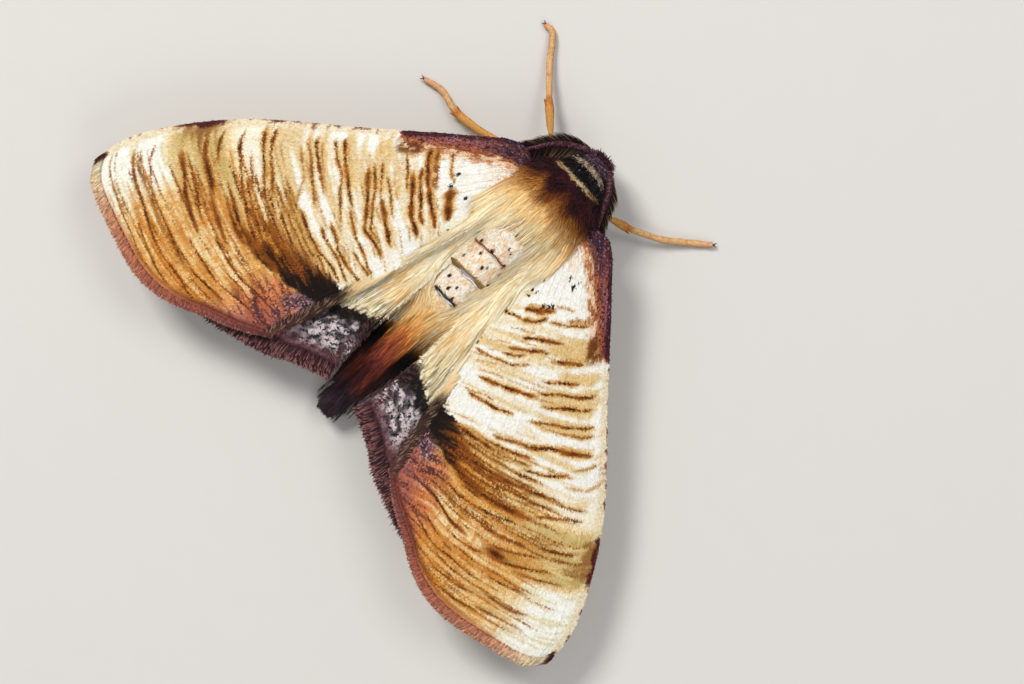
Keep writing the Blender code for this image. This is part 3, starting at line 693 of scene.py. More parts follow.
def paint_lines(wing):
    """Fine cross lines at random, then the wing's own ones, and the black inner end of the scorch."""
    u, v, rng = wing.u, wing.v, wing.rng
    for _ in range(90):
        at, first = rng.uniform(0.26, 0.95), rng.uniform(0.1, 0.8)
        weight, length = (0.45, 0.17) if at < 0.6 else (0.8, 0.3)
        places = leaning(at, first, min(first + length * rng.uniform(0.5, 1.5), 0.97))
        wing.draw(places, rng.uniform(0.0022, 0.004), weight * rng.uniform(0.4, 1), "line")
    for _ in range(26):
        at, first = rng.uniform(0.575, 0.665), rng.uniform(0.26, 0.48)
        places = leaning(at, first, rng.uniform(0.66, 0.82))
        wing.draw(places, rng.uniform(0.003, 0.006), rng.uniform(0.6, 1.0), "line")
    if not wing.left:
        streak = np.interp(v, *RIGHT_STREAK)
        clear = band(u - streak + 0.004 * (wing.mottle - 0.5), -0.024, 0.022, 0.006)
        wing.paint(IVORY, clear * fade(v, 0.38, 0.46) * 0.9)
    for width, strength, *places in LEFT_LINES if wing.left else RIGHT_LINES:
        wing.draw(places, width, strength, "line")
    depth = v + 1.3 * (u - 0.7) + 0.2 * (wing.fine_bars - 0.5) + 0.06 * (wing.grain - 0.5)
    wing.paint((20, 12, 11), band(u, 0.632, 0.724, 0.012) * fade(depth, 0.8, 0.9) * 0.95)


def paint_veins_and_dots(wing):
    """The veins that show in the golden part, and the black dots."""
    u, v, c = wing.u, wing.v, wing.c
    for root, end in FOREWING_VEINS[2:-1]:
        vein = np.exp(-(((v - root - (end - root) * u) / 0.0035) ** 2))
        c = stain(c, (0.93, 0.76, 0.55), vein * fade(u, 0.6, 0.75) * 0.45)
    for dot_v, dot_u, size in LEFT_DOTS if wing.left else RIGHT_DOTS:
        near = (np.abs(u - dot_u) < 0.03) & (np.abs(v - dot_v) < 0.06)
        away = np.hypot((u[near] - dot_u) * 20, (v[near] - dot_v) * 6.5)
        away = away + 0.16 * (wing.grain[near] - 0.5) + 0.14 * (wing.mottle[near] - 0.5)
        c[near] = lay(c[near], DOT_BLACK, 1 - fade(away, size * 0.62, size * 0.9))
    wing.c = c


def paint_outer_margin(wing):
    """The seam inside the fringe, the rim under it, a cream strip of painted light over the shade at
    the membrane's end near the tip, and the dark point at the tip.
    """
    u, v = wing.u, wing.v
    seam_brown, seam_maroon = (150, 84, 34), (98, 36, 32)
    salmon, rose_brown = (206, 128, 84), (140, 72, 62)
    rim = fade(u, 0.95, 0.964)
    seam = band(u, 0.948, 0.96, 0.004)
    wing.paint(seam_brown, seam * fade(v, 0.28, 0.4) * 0.7)
    wing.paint(seam_maroon, seam * fade(v + 0.1 * (wing.mottle - 0.5), 0.52, 0.72) * 0.9)
    wing.paint(salmon, rim * fade(v, 0.2, 0.34) * 0.85)
    wing.paint(rose_brown, rim * fade(v, 0.52, 0.7) * 0.85)
    cream, point_maroon = (236, 214, 164), (66, 26, 20)
    # painted light: a cream strip at the membrane's end near the tip lifts the shade that falls there
    wing.paint(cream, fade(u, 0.962, 0.97) * till(v, 0.2, 0.34))
    from_tip = np.hypot((u - 0.972) * 1.1, (v - 0.02) * 1.3)
    wing.paint(point_maroon, till(from_tip, 0.02, 0.034) * 0.95)


def forewing_colours(side, u, v):
    """The markings of the upper side of a forewing."""
    wing = ForewingPattern(side, u, v)
    paint_inner_half(wing)
    paint_golden_third(wing)
    paint_rosy_corner(wing)
    paint_scorch(wing)
    paint_front_edge(wing)
    paint_dark_root(wing)
    paint_patches(wing)
    paint_lines(wing)
    paint_veins_and_dots(wing)
    paint_outer_margin(wing)
    return wing.c * (0.96 + 0.07 * wing.grain[:, None])


def scaly_material(name, roughness, scale, strength, sheen):
    """Matte scales or hair whose colour lies in the piece's own tint."""
    material = bpy.data.materials.new(name)
    material.use_nodes = True
    tree = material.node_tree
    shader = tree.nodes["Principled BSDF"]
    own_tint = add_node(tree, "Attribute", {})
    own_tint.attribute_name = "tint"
    place = add_node(tree, "TexCoord", {})
    flecks = add_node(tree, "TexNoise", {"Scale": scale, "Detail": 3})
    shade = add_node(tree, "MapRange", {"To Min": 0.9, "To Max": 1.08})
    toned = add_node(tree, "VectorMath", {})
    toned.operation = "SCALE"
    dull = add_node(tree, "MapRange", {"To Min": roughness - 0.12, "To Max": roughness + 0.12})
    bump = add_node(tree, "Bump", {"Strength": strength, "Distance": 0.00002})
    connect(place, "Object", flecks, "Vector")
    connect(flecks, "Fac", shade, "Value")
    connect(own_tint, "Color", toned, 0)
    connect(shade, "Result", toned, "Scale")
    connect(toned, "Vector", shader, "Base Color")
    connect(flecks, "Fac", dull, "Value")
    connect(dull, "Result", shader, "Roughness")
    connect(flecks, "Fac", bump, "Height")
    connect(bump, "Normal", shader, "Normal")
    shader.inputs["Specular IOR Level"].default_value = 0.12
    shader.inputs["Sheen Weight"].default_value = sheen
    shader.inputs["Sheen Roughness"].default_value = 0.4
    return material


def tint(mesh, colours):
    """Stores colours, named from 0 to 255, on the points of a mesh."""
    layer = mesh.color_attributes.new("tint", "FLOAT_COLOR", "POINT")
    values = np.ones((len(mesh.vertices), 4), np.float32)
    values[:, :3] = linear(colours) * 0.9
    layer.data.foreach_set("color", values.ravel())


def finish_piece(piece, material, slot, *nodes):
    """Gives a piece its material, hangs it under the root and hides the solids that it covers."""
    piece.data.materials.clear()
    piece.data.materials.append(material)
    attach(piece, "root")
    if nodes:
        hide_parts(*nodes)


def unit(ways):
    """The same directions with a length of one."""
    return ways / np.maximum(np.linalg.norm(ways, axis=-1, keepdims=True), 1e-12)


def strands(name, lines, widths, ups, from_colours, to_colours, spots, ridge=0.6):
    """Thin closed blades joined in one mesh.

    lines holds the points of each blade, and widths its breadth at each of them. A blade has three
    sides, starts with a cut end and runs out to a point. spots are its roots on the skin's unwrap.
    """
    count, length, _ = lines.shape
    ahead = unit(np.gradient(lines, axis=1))
    aside = unit(np.cross(ahead, ups[:, None, :]))
    upward = np.cross(aside, ahead)
    half = widths[..., None] / 2
    crest = lines + upward * half * ridge
    rings = np.stack([lines - aside * half, lines + aside * half, crest], axis=2)
    points = np.concatenate([rings[:, :-1].reshape(count, -1, 3), lines[:, -1:]], axis=1)
    size = points.shape[1]
    faces = [(0, 1, 2)]
    for ring in range(length - 2):
        for a in range(3):
            i, j = 3 * ring + a, 3 * ring + (a + 1) % 3
            faces += [(j, i, i + 3), (j, i + 3, j + 3)]
    last = 3 * (length - 2)
    faces += [(last + (a + 1) % 3, last + a, size - 1) for a in range(3)]
    corners = (np.array(faces)[None] + (np.arange(count) * size)[:, None, None]).ravel()
    mesh = bpy.data.meshes.new(name)
    mesh.vertices.add(count * size)
    mesh.vertices.foreach_set("co", ((points + PLAN) * MM).astype(np.float32).ravel())
    mesh.loops.add(len(corners))
    mesh.loops.foreach_set("vertex_index", corners.astype(np.int32))
    mesh.polygons.add(len(corners) // 3)
    mesh.polygons.foreach_set("loop_start", np.arange(0, len(corners), 3, dtype=np.int32))
    mesh.update(calc_edges=True)
    share = np.append(np.repeat(np.arange(length - 1) / (length - 1), 3), 1.0)[None, :, None]
    colours = from_colours[:, None] * (1 - share) + to_colours[:, None] * share
    tint(mesh, colours.reshape(-1, 3))
    patch = np.column_stack([np.append(np.tile([-1, 1, 0], length - 1), 0), 2 * share.ravel() - 1])
    places = np.clip(spots, 0.002, 0.998)[:, None] + 0.0015 * patch[None]
    layer = mesh.uv_layers.new(name="OFBake")
    layer.data.foreach_set("uv", places.reshape(-1, 2)[corners].astype(np.float32).ravel())
    mesh.shade_flat()
    return add_object(name, mesh)


def even_spots(outline, count, rng, low, high):
    """Random places spread evenly over part of a wing."""
    u = rng.uniform(low[0], high[0], count * 4)
    v = rng.uniform(low[1], high[1], count * 4)
    step = 1e-3
    here = wing_point(outline, 1, u, v)
    du = wing_point(outline, 1, u + step, v) - here
    dv = wing_point(outline, 1, u, v + step) - here
    area = np.linalg.norm(np.cross(du, dv), axis=1)
    kept = rng.random(len(u)) < area / np.percentile(area, 97)
    return u[kept][:count], v[kept][:count]


def wing_skin(name, outline, side, cells, colours, slot, node):
    """A wing's membrane: a grid shaped to the outline and given a thin wall."""
    bpy.ops.object.select_all(action="DESELECT")
    bpy.ops.mesh.primitive_grid_add(x_subdivisions=cells[0], y_subdivisions=cells[1], size=1)
    skin = bpy.context.object
    skin.name = skin.data.name = name
    flat = np.zeros(len(skin.data.vertices) * 3, np.float32)
    skin.data.vertices.foreach_get("co", flat)
    flat = flat.reshape(-1, 3)
    u = (flat[:, 0] + 0.5) * MEMBRANE[0]
    v = (flat[:, 1] + 0.5) * MEMBRANE[1]
    shaped = (wing_point(outline, side, u, v) + PLAN) * MM
    skin.data.vertices.foreach_set("co", shaped.astype(np.float32).ravel())
    if side < 0:
        skin.data.flip_normals()
    skin.data.update()
    wall = skin.modifiers.new("wall", "SOLIDIFY")
    wall.thickness = MEMBRANE_WALL * MM
    wall.offset = -1
    bpy.ops.object.modifier_apply(modifier=wall.name)
    top = colours(side, u, v)
    under = lay(top, UNDERSIDE, np.full(len(u), 0.55))
    tint(skin.data, np.vstack([top, under]))
    skin.data.shade_smooth()
    finish_piece(skin, wing_skin_material, slot, node)


def scale_rows(name, outline, side, spots, colours, size, slot, rng, lift=0.004):
    """Flat overlapping scales, rooted at spots and pointing to the wing's outer edge."""
    u, v = spots
    length, width = size
    count, step = len(u), 2e-3
    root = wing_point(outline, side, u, v, 0.002 + 0.005 * rng.random(count))
    outwards = wing_point(outline, side, u + step, v) - wing_point(outline, side, u, v)
    out = unit(outwards)
    back = unit(wing_point(outline, side, u, v + step) - wing_point(outline, side, u, v))
    up = unit(np.cross(out, back) * side)
    turn = rng.normal(0, 0.16, count)[:, None]
    way = unit(out + turn * back)
    length = (length * rng.uniform(0.8, 1.2, count))[:, None]
    end = root + way * length + up * (lift * rng.uniform(0.5, 1.5, count))[:, None]
    ups = unit(up + 0.07 * rng.normal(size=up.shape))
    lines = np.stack([end, root], axis=1)
    widths = np.tile([[width, 0.0]], (count, 1)) * rng.uniform(0.8, 1.2, (count, 1))
    span = np.linalg.norm(outwards, axis=1) / step
    off_u, off_v = rng.normal(0, 0.0012, count), rng.normal(0, 0.0026, count)
    shade = colours(side, u + 0.75 * length[:, 0] / span + off_u, v + off_v)
    shade = shade * rng.uniform(0.91, 1.05, (count, 1))
    coat = strands(name, lines, widths, -ups, shade * 1.02, shade * 0.97, np.column_stack(spots), 0.15)
    finish_piece(coat, wing_scale_material, slot)


def fringe(name, outline, side, edge, colours, reach, count, layers, slot, rng, inset=0.012):
    """Fine bristles side by side along an edge, in layers, each lock a little longer or shorter."""
    t = np.tile((np.arange(count) + 0.5) / count, layers)
    t = np.clip(t + rng.normal(0, 0.3 / count, len(t)), 0, 1)
    layer = np.repeat(np.arange(layers), count)
    if edge == "termen":
        u, v = MEMBRANE[0] - 0.006 - inset * rng.random(len(t)), t * MEMBRANE[1]
        tip_u, tip_v = np.full(len(t), 1.0), t
    else:
        u = 0.1 + 0.88 * t * MEMBRANE[0]
        v = MEMBRANE[1] - 0.008 - 0.05 * rng.random(len(t)) * (t > 0.5)
        tip_u = u + (0.08 if outline is FOREWING else 0.03)
        tip_v = np.full(len(t), 1.0) - 0.02 * rng.random(len(t))
        shown = t > 0.42
        t, layer, u, v, tip_u, tip_v = (part[shown] for part in (t, layer, u, v, tip_u, tip_v))
    lock = 1 - (t * count / 8 + 0.4 * np.sin(t * 37)) % 1
    stretch = reach * (0.64 + 0.2 * lock + rng.normal(0, 0.04, len(t)) + 0.12 * (layer == 0))
    stretch = stretch * np.where(layer == layers - 1, 0.62, 1.0)
    start = wing_point(outline, side, u, v)
    way = wing_point(outline, side, tip_u, tip_v) - start
    start[:, 2] += -0.02 + 0.035 * layer
    swerve = rng.normal(0, 0.016, (len(t), 3)) * np.array([1, 1, 0.5])
    steps = np.array([0.0, 0.45, 0.8, 1.0])[None, :, None]
    lines = start[:, None] + (way * stretch[:, None])[:, None] * steps + swerve[:, None] * steps**2
    lines[..., 2] -= 0.02 * steps[..., 0] ** 2
    widths = np.array([[0.04, 0.052, 0.046, 0.0]]) * rng.uniform(0.7, 1.2, (len(t), 1))
    shade_root, shade_tip = colours(t, layer, rng)
    ups = np.tile([0.0, 0.0, 1.0], (len(t), 1))
    bristles = strands(name, lines, widths, ups, shade_root, shade_tip, np.column_stack([u, v]))
    finish_piece(bristles, fringe_material, slot)


def shade_along(t, at, shades):
    """The shade at each t, blended between the shades that lie at the places in at."""
    return np.column_stack([np.interp(t, at, [shade[k] for shade in shades]) for k in range(3)])


def forewing_fringe_colours(t, layer, rng):
    """From cream at the wing tip through salmon to purple brown at the inner corner."""
    shades = [
        (64, 26, 20), (228, 216, 180), (232, 208, 168), (226, 164, 126), (204, 128, 98),
        (178, 104, 86), (140, 82, 78), (96, 56, 60),
    ]
    tip = shade_along(t, [0.022, 0.05, 0.14, 0.26, 0.45, 0.62, 0.82, 1.0], shades)
    beat = rng.uniform(0.72, 1.12, (len(t), 1))
    root = lay(tip, (128, 60, 46), fade(t, 0.16, 0.34) * np.where(layer < 3, 0.75, 0.35))
    tip = lay(tip, (250, 200, 168), 0.55 * (rng.random(len(t)) < 0.45) * (layer < 3))
    return root * beat, tip * beat


def forewing_inner_fringe_colours(t, _, rng):
    """Straw beside the body, brown black beyond the scorched band."""
    shades = [
        (252, 238, 208), (252, 236, 200), (232, 200, 146), (40, 28, 20), (66, 42, 38), (96, 56, 52),
    ]
    root = shade_along(t, [0.0, 0.4, 0.56, 0.62, 0.78, 1.0], shades)
    beat = 0.7 + 0.5 * rng.random((len(t), 1))
    glint = (rng.random(len(t)) < 0.2) * fade(t, 0.58, 0.66) * 0.7
    root = lay(root * np.where(t > 0.58, beat[:, 0], 1.0)[:, None], (158, 124, 98), glint)
    return root, lay(root, (126, 96, 80), 0.25 * (t > 0.6))


wing_skin_material = scaly_material("forewing_skin", 0.62, 14000, 0.5, 0.0)
wing_scale_material = scaly_material("forewing_coat", 0.62, 9000, 0.3, 0.0)
fringe_material = scaly_material("fringe_coat", 0.6, 9000, 0.2, 0.1)
FOREWING_SCALES = 36000  # in each half of a wing
for side, word in SIDES:
    rng = np.random.default_rng(100 + side)
    wing_skin(
        "forewing_skin_" + word, FOREWING, side, (180, 100), forewing_colours,
        "forewing_scales", "forewing_" + word,
    )
    for half, low, high in (("front", 0.0, 0.44), ("rear", 0.44, MEMBRANE[1])):
        spots = even_spots(FOREWING, FOREWING_SCALES, rng, (0.01, low), (MEMBRANE[0] - 0.004, high))
        scale_rows(
            f"forewing_scales_{half}_{word}", FOREWING, side, spots, forewing_colours,
            (0.09, 0.052), "forewing_scales", rng,
        )
    fringe(
        "forewing_fringe_" + word, FOREWING, side, "termen", forewing_fringe_colours,
        1.0, 760, 4, "forewing_scales", rng,
    )
    fringe(
        "forewing_inner_fringe_" + word, FOREWING, side, "inner", forewing_inner_fringe_colours,
        1.0, 620, 3, "forewing_scales", rng,
    )

# ---------------------------------------------------------------------------- hindwings
# The same kind of wing, folded in just under the forewings, so that only the rear inner part
# shows: cream with long hair beside the body, a black bar, a grey corner and a brown fringe.

HINDWING = {
    "costa": [(0.95, -3.0), (3.2, -1.3), (5.6, 1.0), (7.6, 3.6), (8.7, 6.3)],
    "inner": [(0.78, -2.2), (0.82, 0.6), (0.84, 3.4), (0.66, 6.22)],
    "termen": [
        (8.7, 6.3), (7.4, 7.76), (5.7, 8.12), (4.4, 7.84), (3.0, 7.36), (1.95, 6.75),
        (0.66, 6.22),
    ],
    "level": 2.5,
}
BAR = {1: (3.22, 0.55), -1: (3.3, 0.5)}  # Y of the black bar beside the body, and its slant


def hindwing_colours(side, u, v):
    """The markings of the upper side of a hindwing."""
    seed = 200 if side > 0 else 230
    place = wing_point(HINDWING, 1, u, v)
    x, y = place[:, 0], place[:, 1]
    grain = cloud(u, v, 150, 110, seed)
    mottle = cloud(u, v, 50, 36, seed + 1)
    rays = cloud(v, u, 90, 8, seed + 2)
    c = all_over((248, 236, 206), u)
    c = lay(c, (222, 196, 142), 0.7 * fade(rays, 0.45, 0.75))
    bar = BAR[side][0] + BAR[side][1] * (x - 0.8)
    past = y - bar + 0.22 * (rays - 0.5) + 0.1 * (grain - 0.5)
    c = lay(c, (132, 112, 72), fade(past, -0.5, -0.1) * fade(rays, 0.35, 0.7))
    c = lay(c, (20, 14, 12), fade(past, -0.1, 0.02))
    c = lay(c, (74, 58, 46), fade(past, -0.05, 0.1) * fade(grain, 0.68, 0.8) * 0.5)
    patch = past - 0.5 * till(x, 1.2, 1.5) + 0.25 * (mottle - 0.5)
    c = lay(c, (122, 112, 116), fade(patch, 0.34, 0.56))
    c = lay(c, (230, 218, 218), fade(patch, 0.45, 0.7) * fade(mottle, 0.4, 0.6) * 0.9)
    c = lay(c, (190, 150, 154), fade(patch, 0.5, 0.75) * fade(grain, 0.64, 0.77) * 0.6)
    c = lay(c, (26, 28, 32), fade(past, 0.45, 0.7) * till(grain, 0.32, 0.42) * 0.95)
    c = lay(c, (44, 38, 42), fade(past, 0.4, 0.7) * till(mottle, 0.2, 0.32) * 0.7)
    c = lay(c, (92, 56, 62), fade(past, 1.5, 2.4) * (0.4 + 0.6 * mottle))
    to_edge = 1 - u
    c = lay(c, (104, 66, 72), till(to_edge, 0.06, 0.14) * 0.95)
    c = lay(c, (150, 94, 86), till(to_edge, 0.03, 0.12) * fade(rays, 0.55, 0.7) * 0.8)
    c = lay(c, (62, 36, 44), band(to_edge, 0.055, 0.085, 0.01) * 0.8)
    c = lay(c, (124, 70, 68), fade(x, 2.4, 3.6) * fade(past, 0.3, 0.8) * 0.8)
    return c * (0.95 + 0.08 * grain[:, None])


def hindwing_fringe_colours(t, _, rng):
    """Purple brown bristles with pinkish tips."""
    beat = rng.uniform(0.6, 1.2, (len(t), 1))
    root = all_over((58, 32, 40), t) * beat
    pale = rng.random(len(t)) < 0.45
    return lay(root, (120, 70, 66), 0.4 * pale), lay(root * 1.15, (206, 146, 132), 0.8 * pale)


def hindwing_inner_fringe_colours(t, _, rng):
    """Pale hair that turns dark beyond the bar."""
    beat = rng.uniform(0.75, 1.1, (len(t), 1))
    pale = all_over((240, 222, 182), t)
    root = lay(pale, (84, 50, 52), fade(t, 0.58, 0.68)) * beat
    return root, root * 0.95


HINDWING_SCALES = 13000
for side, word in SIDES:
    rng = np.random.default_rng(300 + side)
    wing_skin(
        "hindwing_skin_" + word, HINDWING, side, (80, 70), hindwing_colours,
        "hindwing_scales", "hindwing_" + word,
    )
    low, high = (0.02, 0.58), (MEMBRANE[0] - 0.01, MEMBRANE[1])
    spots = even_spots(HINDWING, HINDWING_SCALES, rng, low, high)
    scale_rows(
        "hindwing_scales_" + word, HINDWING, side, spots, hindwing_colours,
        (0.12, 0.062), "hindwing_scales", rng, 0.012,
    )
    fringe(
        "hindwing_fringe_" + word, HINDWING, side, "termen", hindwing_fringe_colours,
        1.2, 520, 4, "hindwing_scales", rng, 0.055,
    )
    fringe(
        "hindwing_inner_fringe_" + word, HINDWING, side, "inner", hindwing_inner_fringe_colours,
        1.0, 300, 2, "hindwing_scales", rng,
    )

# ---------------------------------------------------------------------------- skin of the body
# One closed skin over head, thorax, abdomen, palps and legs. It starts from copies of the solids,
# which are run together and drawn in by the depth of the coat, with the slender legs added.

FLESH = ["head", "collar", "thorax", "abdomen", "tail_tuft"]
COAT_DEPTH = 0.1
PUFF = 0.09  # how far the solids are swollen before they are run together
FILLING = 0.46  # radius of the balls that fill the brow and what lies behind the eyes
EYES = {1: (0.62, -6.16, 1.7), -1: (-0.64, -6.1, 1.7)}
EYE_RADIUS = 0.47
LEG_PATHS = {  # middle lines of the legs, from hip to toe
    "front_left": [
        (0.45, -4.75, 0.95), (1.15, -5.3, 1.14), (1.93, -5.86, 1.22), (3.05, -6.78, 0.74),
        (4.04, -7.7, 0.32), (4.79, -8.52, 0.16), (5.23, -8.56, 0.14),
    ],
    "front_right": [
        (-0.45, -4.75, 0.95), (-1.1, -5.14, 1.14), (-1.75, -5.44, 1.22), (-2.55, -5.77, 0.86),
        (-3.6, -6.38, 0.4), (-4.46, -7.14, 0.16), (-5.08, -7.72, 0.14),
    ],
    "middle_left": [
        (0.6, -3.75, 0.8), (1.6, -4.15, 1.06), (2.7, -4.38, 1.18), (3.95, -4.03, 0.72),
        (5.06, -3.88, 0.34), (5.95, -4.03, 0.16), (6.74, -3.83, 0.14),
    ],
    "middle_right": [
        (-0.6, -3.75, 0.8), (-1.6, -3.85, 1.06), (-2.6, -3.55, 1.14), (-3.6, -2.72, 0.72),
        (-4.4, -2.02, 0.34), (-5.06, -1.46, 0.16), (-5.62, -1.02, 0.14),
    ],
    "hind_left": [
        (0.55, -2.6, 0.8), (1.5, -2.05, 1.08), (2.3, -1.2, 1.2), (2.9, 0.3, 0.82),
        (3.35, 1.7, 0.42), (3.7, 2.8, 0.16), (3.98, 3.76, 0.14),
    ],
    "hind_right": [
        (-0.55, -2.6, 0.8), (-1.5, -2.05, 1.08), (-2.3, -1.2, 1.2), (-2.84, 0.34, 0.82),
        (-3.22, 1.78, 0.42), (-3.5, 2.9, 0.16), (-3.72, 3.86, 0.14),
    ],
}
PALP_PATHS = {
    1: [(0.2, -6.05, 1.02), (0.22, -6.42, 1.02), (0.22, -6.66, 1.08), (0.21, -6.8, 1.22)],
    -1: [(-0.3, -6.05, 1.02), (-0.32, -6.42, 1.02), (-0.33, -6.66, 1.08), (-0.33, -6.8, 1.22)],
}
SHIN_END = {"front": 0.5, "middle": 0.66, "hind": 0.62}  # where the foot's five joints start
LIMB_RINGS, LIMB_SIDES = 70, 14


def leg_radius(t, shin_end):
    """Half thickness of a leg: stout thigh, shin that widens to its end, jointed foot."""
    size = np.interp(t, [0, 0.12, 0.24, 0.33, 0.38, shin_end - 0.04, shin_end, 0.85, 1.0],
                     [0.24, 0.26, 0.17, 0.07, 0.135, 0.178, 0.122, 0.126, 0.1])
    joint = (t - shin_end) / (1 - shin_end) * 5
    return size * (1 + np.where(t > shin_end, 0.14 * (joint % 1) - 0.05, 0))


def palp_radius(t, swelling):
    """Half thickness of a palp."""
    return 0.13 + swelling * np.sin(np.pi * t)


def pipe(path, radius, rings, sides, *more):
    """Points and faces of a closed round pipe along a path."""
    t = np.linspace(0, 1, rings)
    middle = along(path, t)
    ahead = unit(np.gradient(middle, axis=0))
    aside = unit(np.cross(ahead, [0, 0, 1]))
    upward = np.cross(aside, ahead)
    angle = np.linspace(0, 2 * np.pi, sides, endpoint=False)
    size = radius(t, *more)[:, None, None]
    ring = aside[:, None] * np.cos(angle)[None, :, None]
    ring = ring + upward[:, None] * np.sin(angle)[None, :, None]
    points = (middle[:, None] + ring * size).reshape(-1, 3)
    faces = [tuple(range(sides)), tuple((rings - 1) * sides + i for i in reversed(range(sides)))]
    for r in range(rings - 1):
        for i in range(sides):
            j = (i + 1) % sides
            faces.append((r * sides + j, r * sides + i, (r + 1) * sides + i, (r + 1) * sides + j))
    return points, faces


def coordinates(mesh):
    """The points of a mesh as an array."""
    flat = np.zeros(len(mesh.vertices) * 3, np.float32)
    mesh.vertices.foreach_get("co", flat)
    return flat.reshape(-1, 3).astype(float)


def normals(mesh):
    """The outward directions at the points of a mesh."""
    flat = np.zeros(len(mesh.vertices) * 3, np.float32)
    mesh.vertex_normals.foreach_get("vector", flat)
    return flat.reshape(-1, 3).astype(float)


def move_points(mesh, points):
    """Puts the points of a mesh at new places."""
    mesh.vertices.foreach_set("co", points.astype(np.float32).ravel())
    mesh.update()


def select_only(*pieces):
    """Selects pieces, with the first of them active."""
    bpy.ops.object.select_all(action="DESELECT")
    for piece in pieces:
        piece.select_set(True)
    bpy.context.view_layer.objects.active = pieces[0]


def join_to_body(*pieces):
    """Makes pieces part of the skin of the body."""
    select_only(body_skin, *pieces)
    bpy.ops.object.join()


def add_mesh(name, points, faces):
    """A new object with a mesh of its own."""
    mesh = bpy.data.meshes.new(name)
    mesh.from_pydata(points.tolist(), [], faces)
    return add_object(name, mesh)


def remesh(piece, voxel, rounds):
    """Runs all that a piece holds together in one closed surface, and smooths it."""
    select_only(piece)
    fuse = piece.modifiers.new("fuse", "REMESH")
    fuse.mode = "VOXEL"
    fuse.voxel_size = voxel
    bpy.ops.object.modifier_apply(modifier=fuse.name)
    even = piece.modifiers.new("even", "SMOOTH")
    even.factor = 0.5
    even.iterations = rounds
    bpy.ops.object.modifier_apply(modifier=even.name)


copies = []
for node in FLESH:
    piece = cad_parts[node].copy()
    piece.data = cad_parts[node].data.copy()
    piece.parent = None
    bpy.context.scene.collection.objects.link(piece)
    for key in list(piece.keys()):
        del piece[key]
    move_points(piece.data, coordinates(piece.data) / MM - PLAN)
    copies.append(piece)
body_skin = copies[0]
join_to_body(*copies[1:])
body_skin.name = body_skin.data.name = "body_skin"
bpy.ops.object.mode_set(mode="EDIT")
bpy.ops.mesh.select_all(action="SELECT")
bpy.ops.mesh.remove_doubles(threshold=0.001)
bpy.ops.object.mode_set(mode="OBJECT")
while body_skin.data.color_attributes:
    body_skin.data.color_attributes.remove(body_skin.data.color_attributes[0])
move_points(body_skin.data, coordinates(body_skin.data) + normals(body_skin.data) * PUFF)
for centre in EYES.values():
    bpy.ops.mesh.primitive_ico_sphere_add(subdivisions=3, radius=FILLING, location=centre)
    join_to_body(bpy.context.object)
bpy.ops.mesh.primitive_ico_sphere_add(subdivisions=3, radius=FILLING, location=(-0.1, -6.57, 1.9))
brow = bpy.context.object
brow.scale = (1.25, 1.0, 0.95)
bpy.ops.object.transform_apply(location=False, rotation=False)
join_to_body(brow)
remesh(body_skin, 0.06, 3)
swollen = coordinates(body_skin.data)
move_points(body_skin.data, swollen - normals(body_skin.data) * (PUFF + COAT_DEPTH))
for leg, path in LEG_PATHS.items():
    shin_end = SHIN_END[leg.split("_")[0]]
    join_to_body(add_mesh(leg, *pipe(path, leg_radius, LIMB_RINGS, LIMB_SIDES, shin_end)))
for side in (1, -1):
    join_to_body(add_mesh("palp", *pipe(PALP_PATHS[side], palp_radius, LIMB_RINGS, LIMB_SIDES, 0.05)))
remesh(body_skin, 0.045, 2)

# The trunk: Y, height of its middle line, half width. For its colours and its coat's unwrap.
TRUNK = np.array([
    (-6.85, 1.88, 0.22), (-6.72, 1.9, 0.6), (-6.4, 1.96, 0.86), (-5.95, 2.06, 1.02),
    (-5.45, 2.18, 1.26), (-5.0, 2.25, 1.64), (-4.55, 2.28, 1.84), (-3.9, 2.28, 1.9),
    (-3.1, 2.22, 1.74), (-2.35, 2.1, 1.42), (-1.2, 1.98, 1.2), (0.4, 1.78, 1.16),
    (2.0, 1.52, 1.08), (3.6, 1.24, 0.95), (5.0, 1.02, 0.8), (6.15, 0.88, 0.62),
    (6.75, 0.82, 0.6), (7.35, 0.78, 0.4),
])
# The three clefts between rings that show on the back: Y, reach to the left and right, half width,
# and the colours of rim, depth and lip.
CLEFTS = [
    (-1.25, 0.97, 0.8, 0.03, (138, 66, 32), (92, 36, 18), (255, 240, 224)),
    (-0.15, 1.04, 0.68, 0.1, (138, 102, 46), (178, 168, 182), (255, 252, 248)),
    (0.97, 0.64, 0.42, 0.062, (36, 30, 28), (96, 92, 92), (255, 250, 240)),
]
CLEFT_BOW = 0.05
FLECKS = [  # dark flecks on the back: X, Y, size
    (0.05, -2.81, 0.05), (-0.16, -2.81, 0.04), (-0.46, -2.89, 0.04), (-0.03, -2.41, 0.04),
    (0.49, -2.95, 0.035), (-0.2, -1.85, 0.03), (-0.36, -1.8, 0.03), (0.16, -1.37, 0.05),
    (-0.52, -1.3, 0.05), (0.72, -1.36, 0.04), (0.4, -1.02, 0.045), (-0.03, -0.69, 0.05),
    (-0.16, -0.83, 0.04), (0.76, -0.51, 0.04), (-0.66, -1.0, 0.045), (-0.66, -0.43, 0.045),
    (0.55, 0.38, 0.05), (0.24, 0.71, 0.05), (0.04, 0.48, 0.045), (-0.14, 0.86, 0.05),
]
COLLAR_TONGUES = [  # how much further back each reaches, where, and how wide
    (0.24, 0.39, 0.15), (0.22, -0.6, 0.15), (-0.16, -0.08, 0.2), (-0.24, 0.85, 0.22),
]


def tongues(x):
    """How much further back the dark of the collar reaches in two tongues, and less between them."""
    reach = 0
    for size, at, width in COLLAR_TONGUES:
        reach = reach + size * np.exp(-(((x - at) / width) ** 2))
    return reach


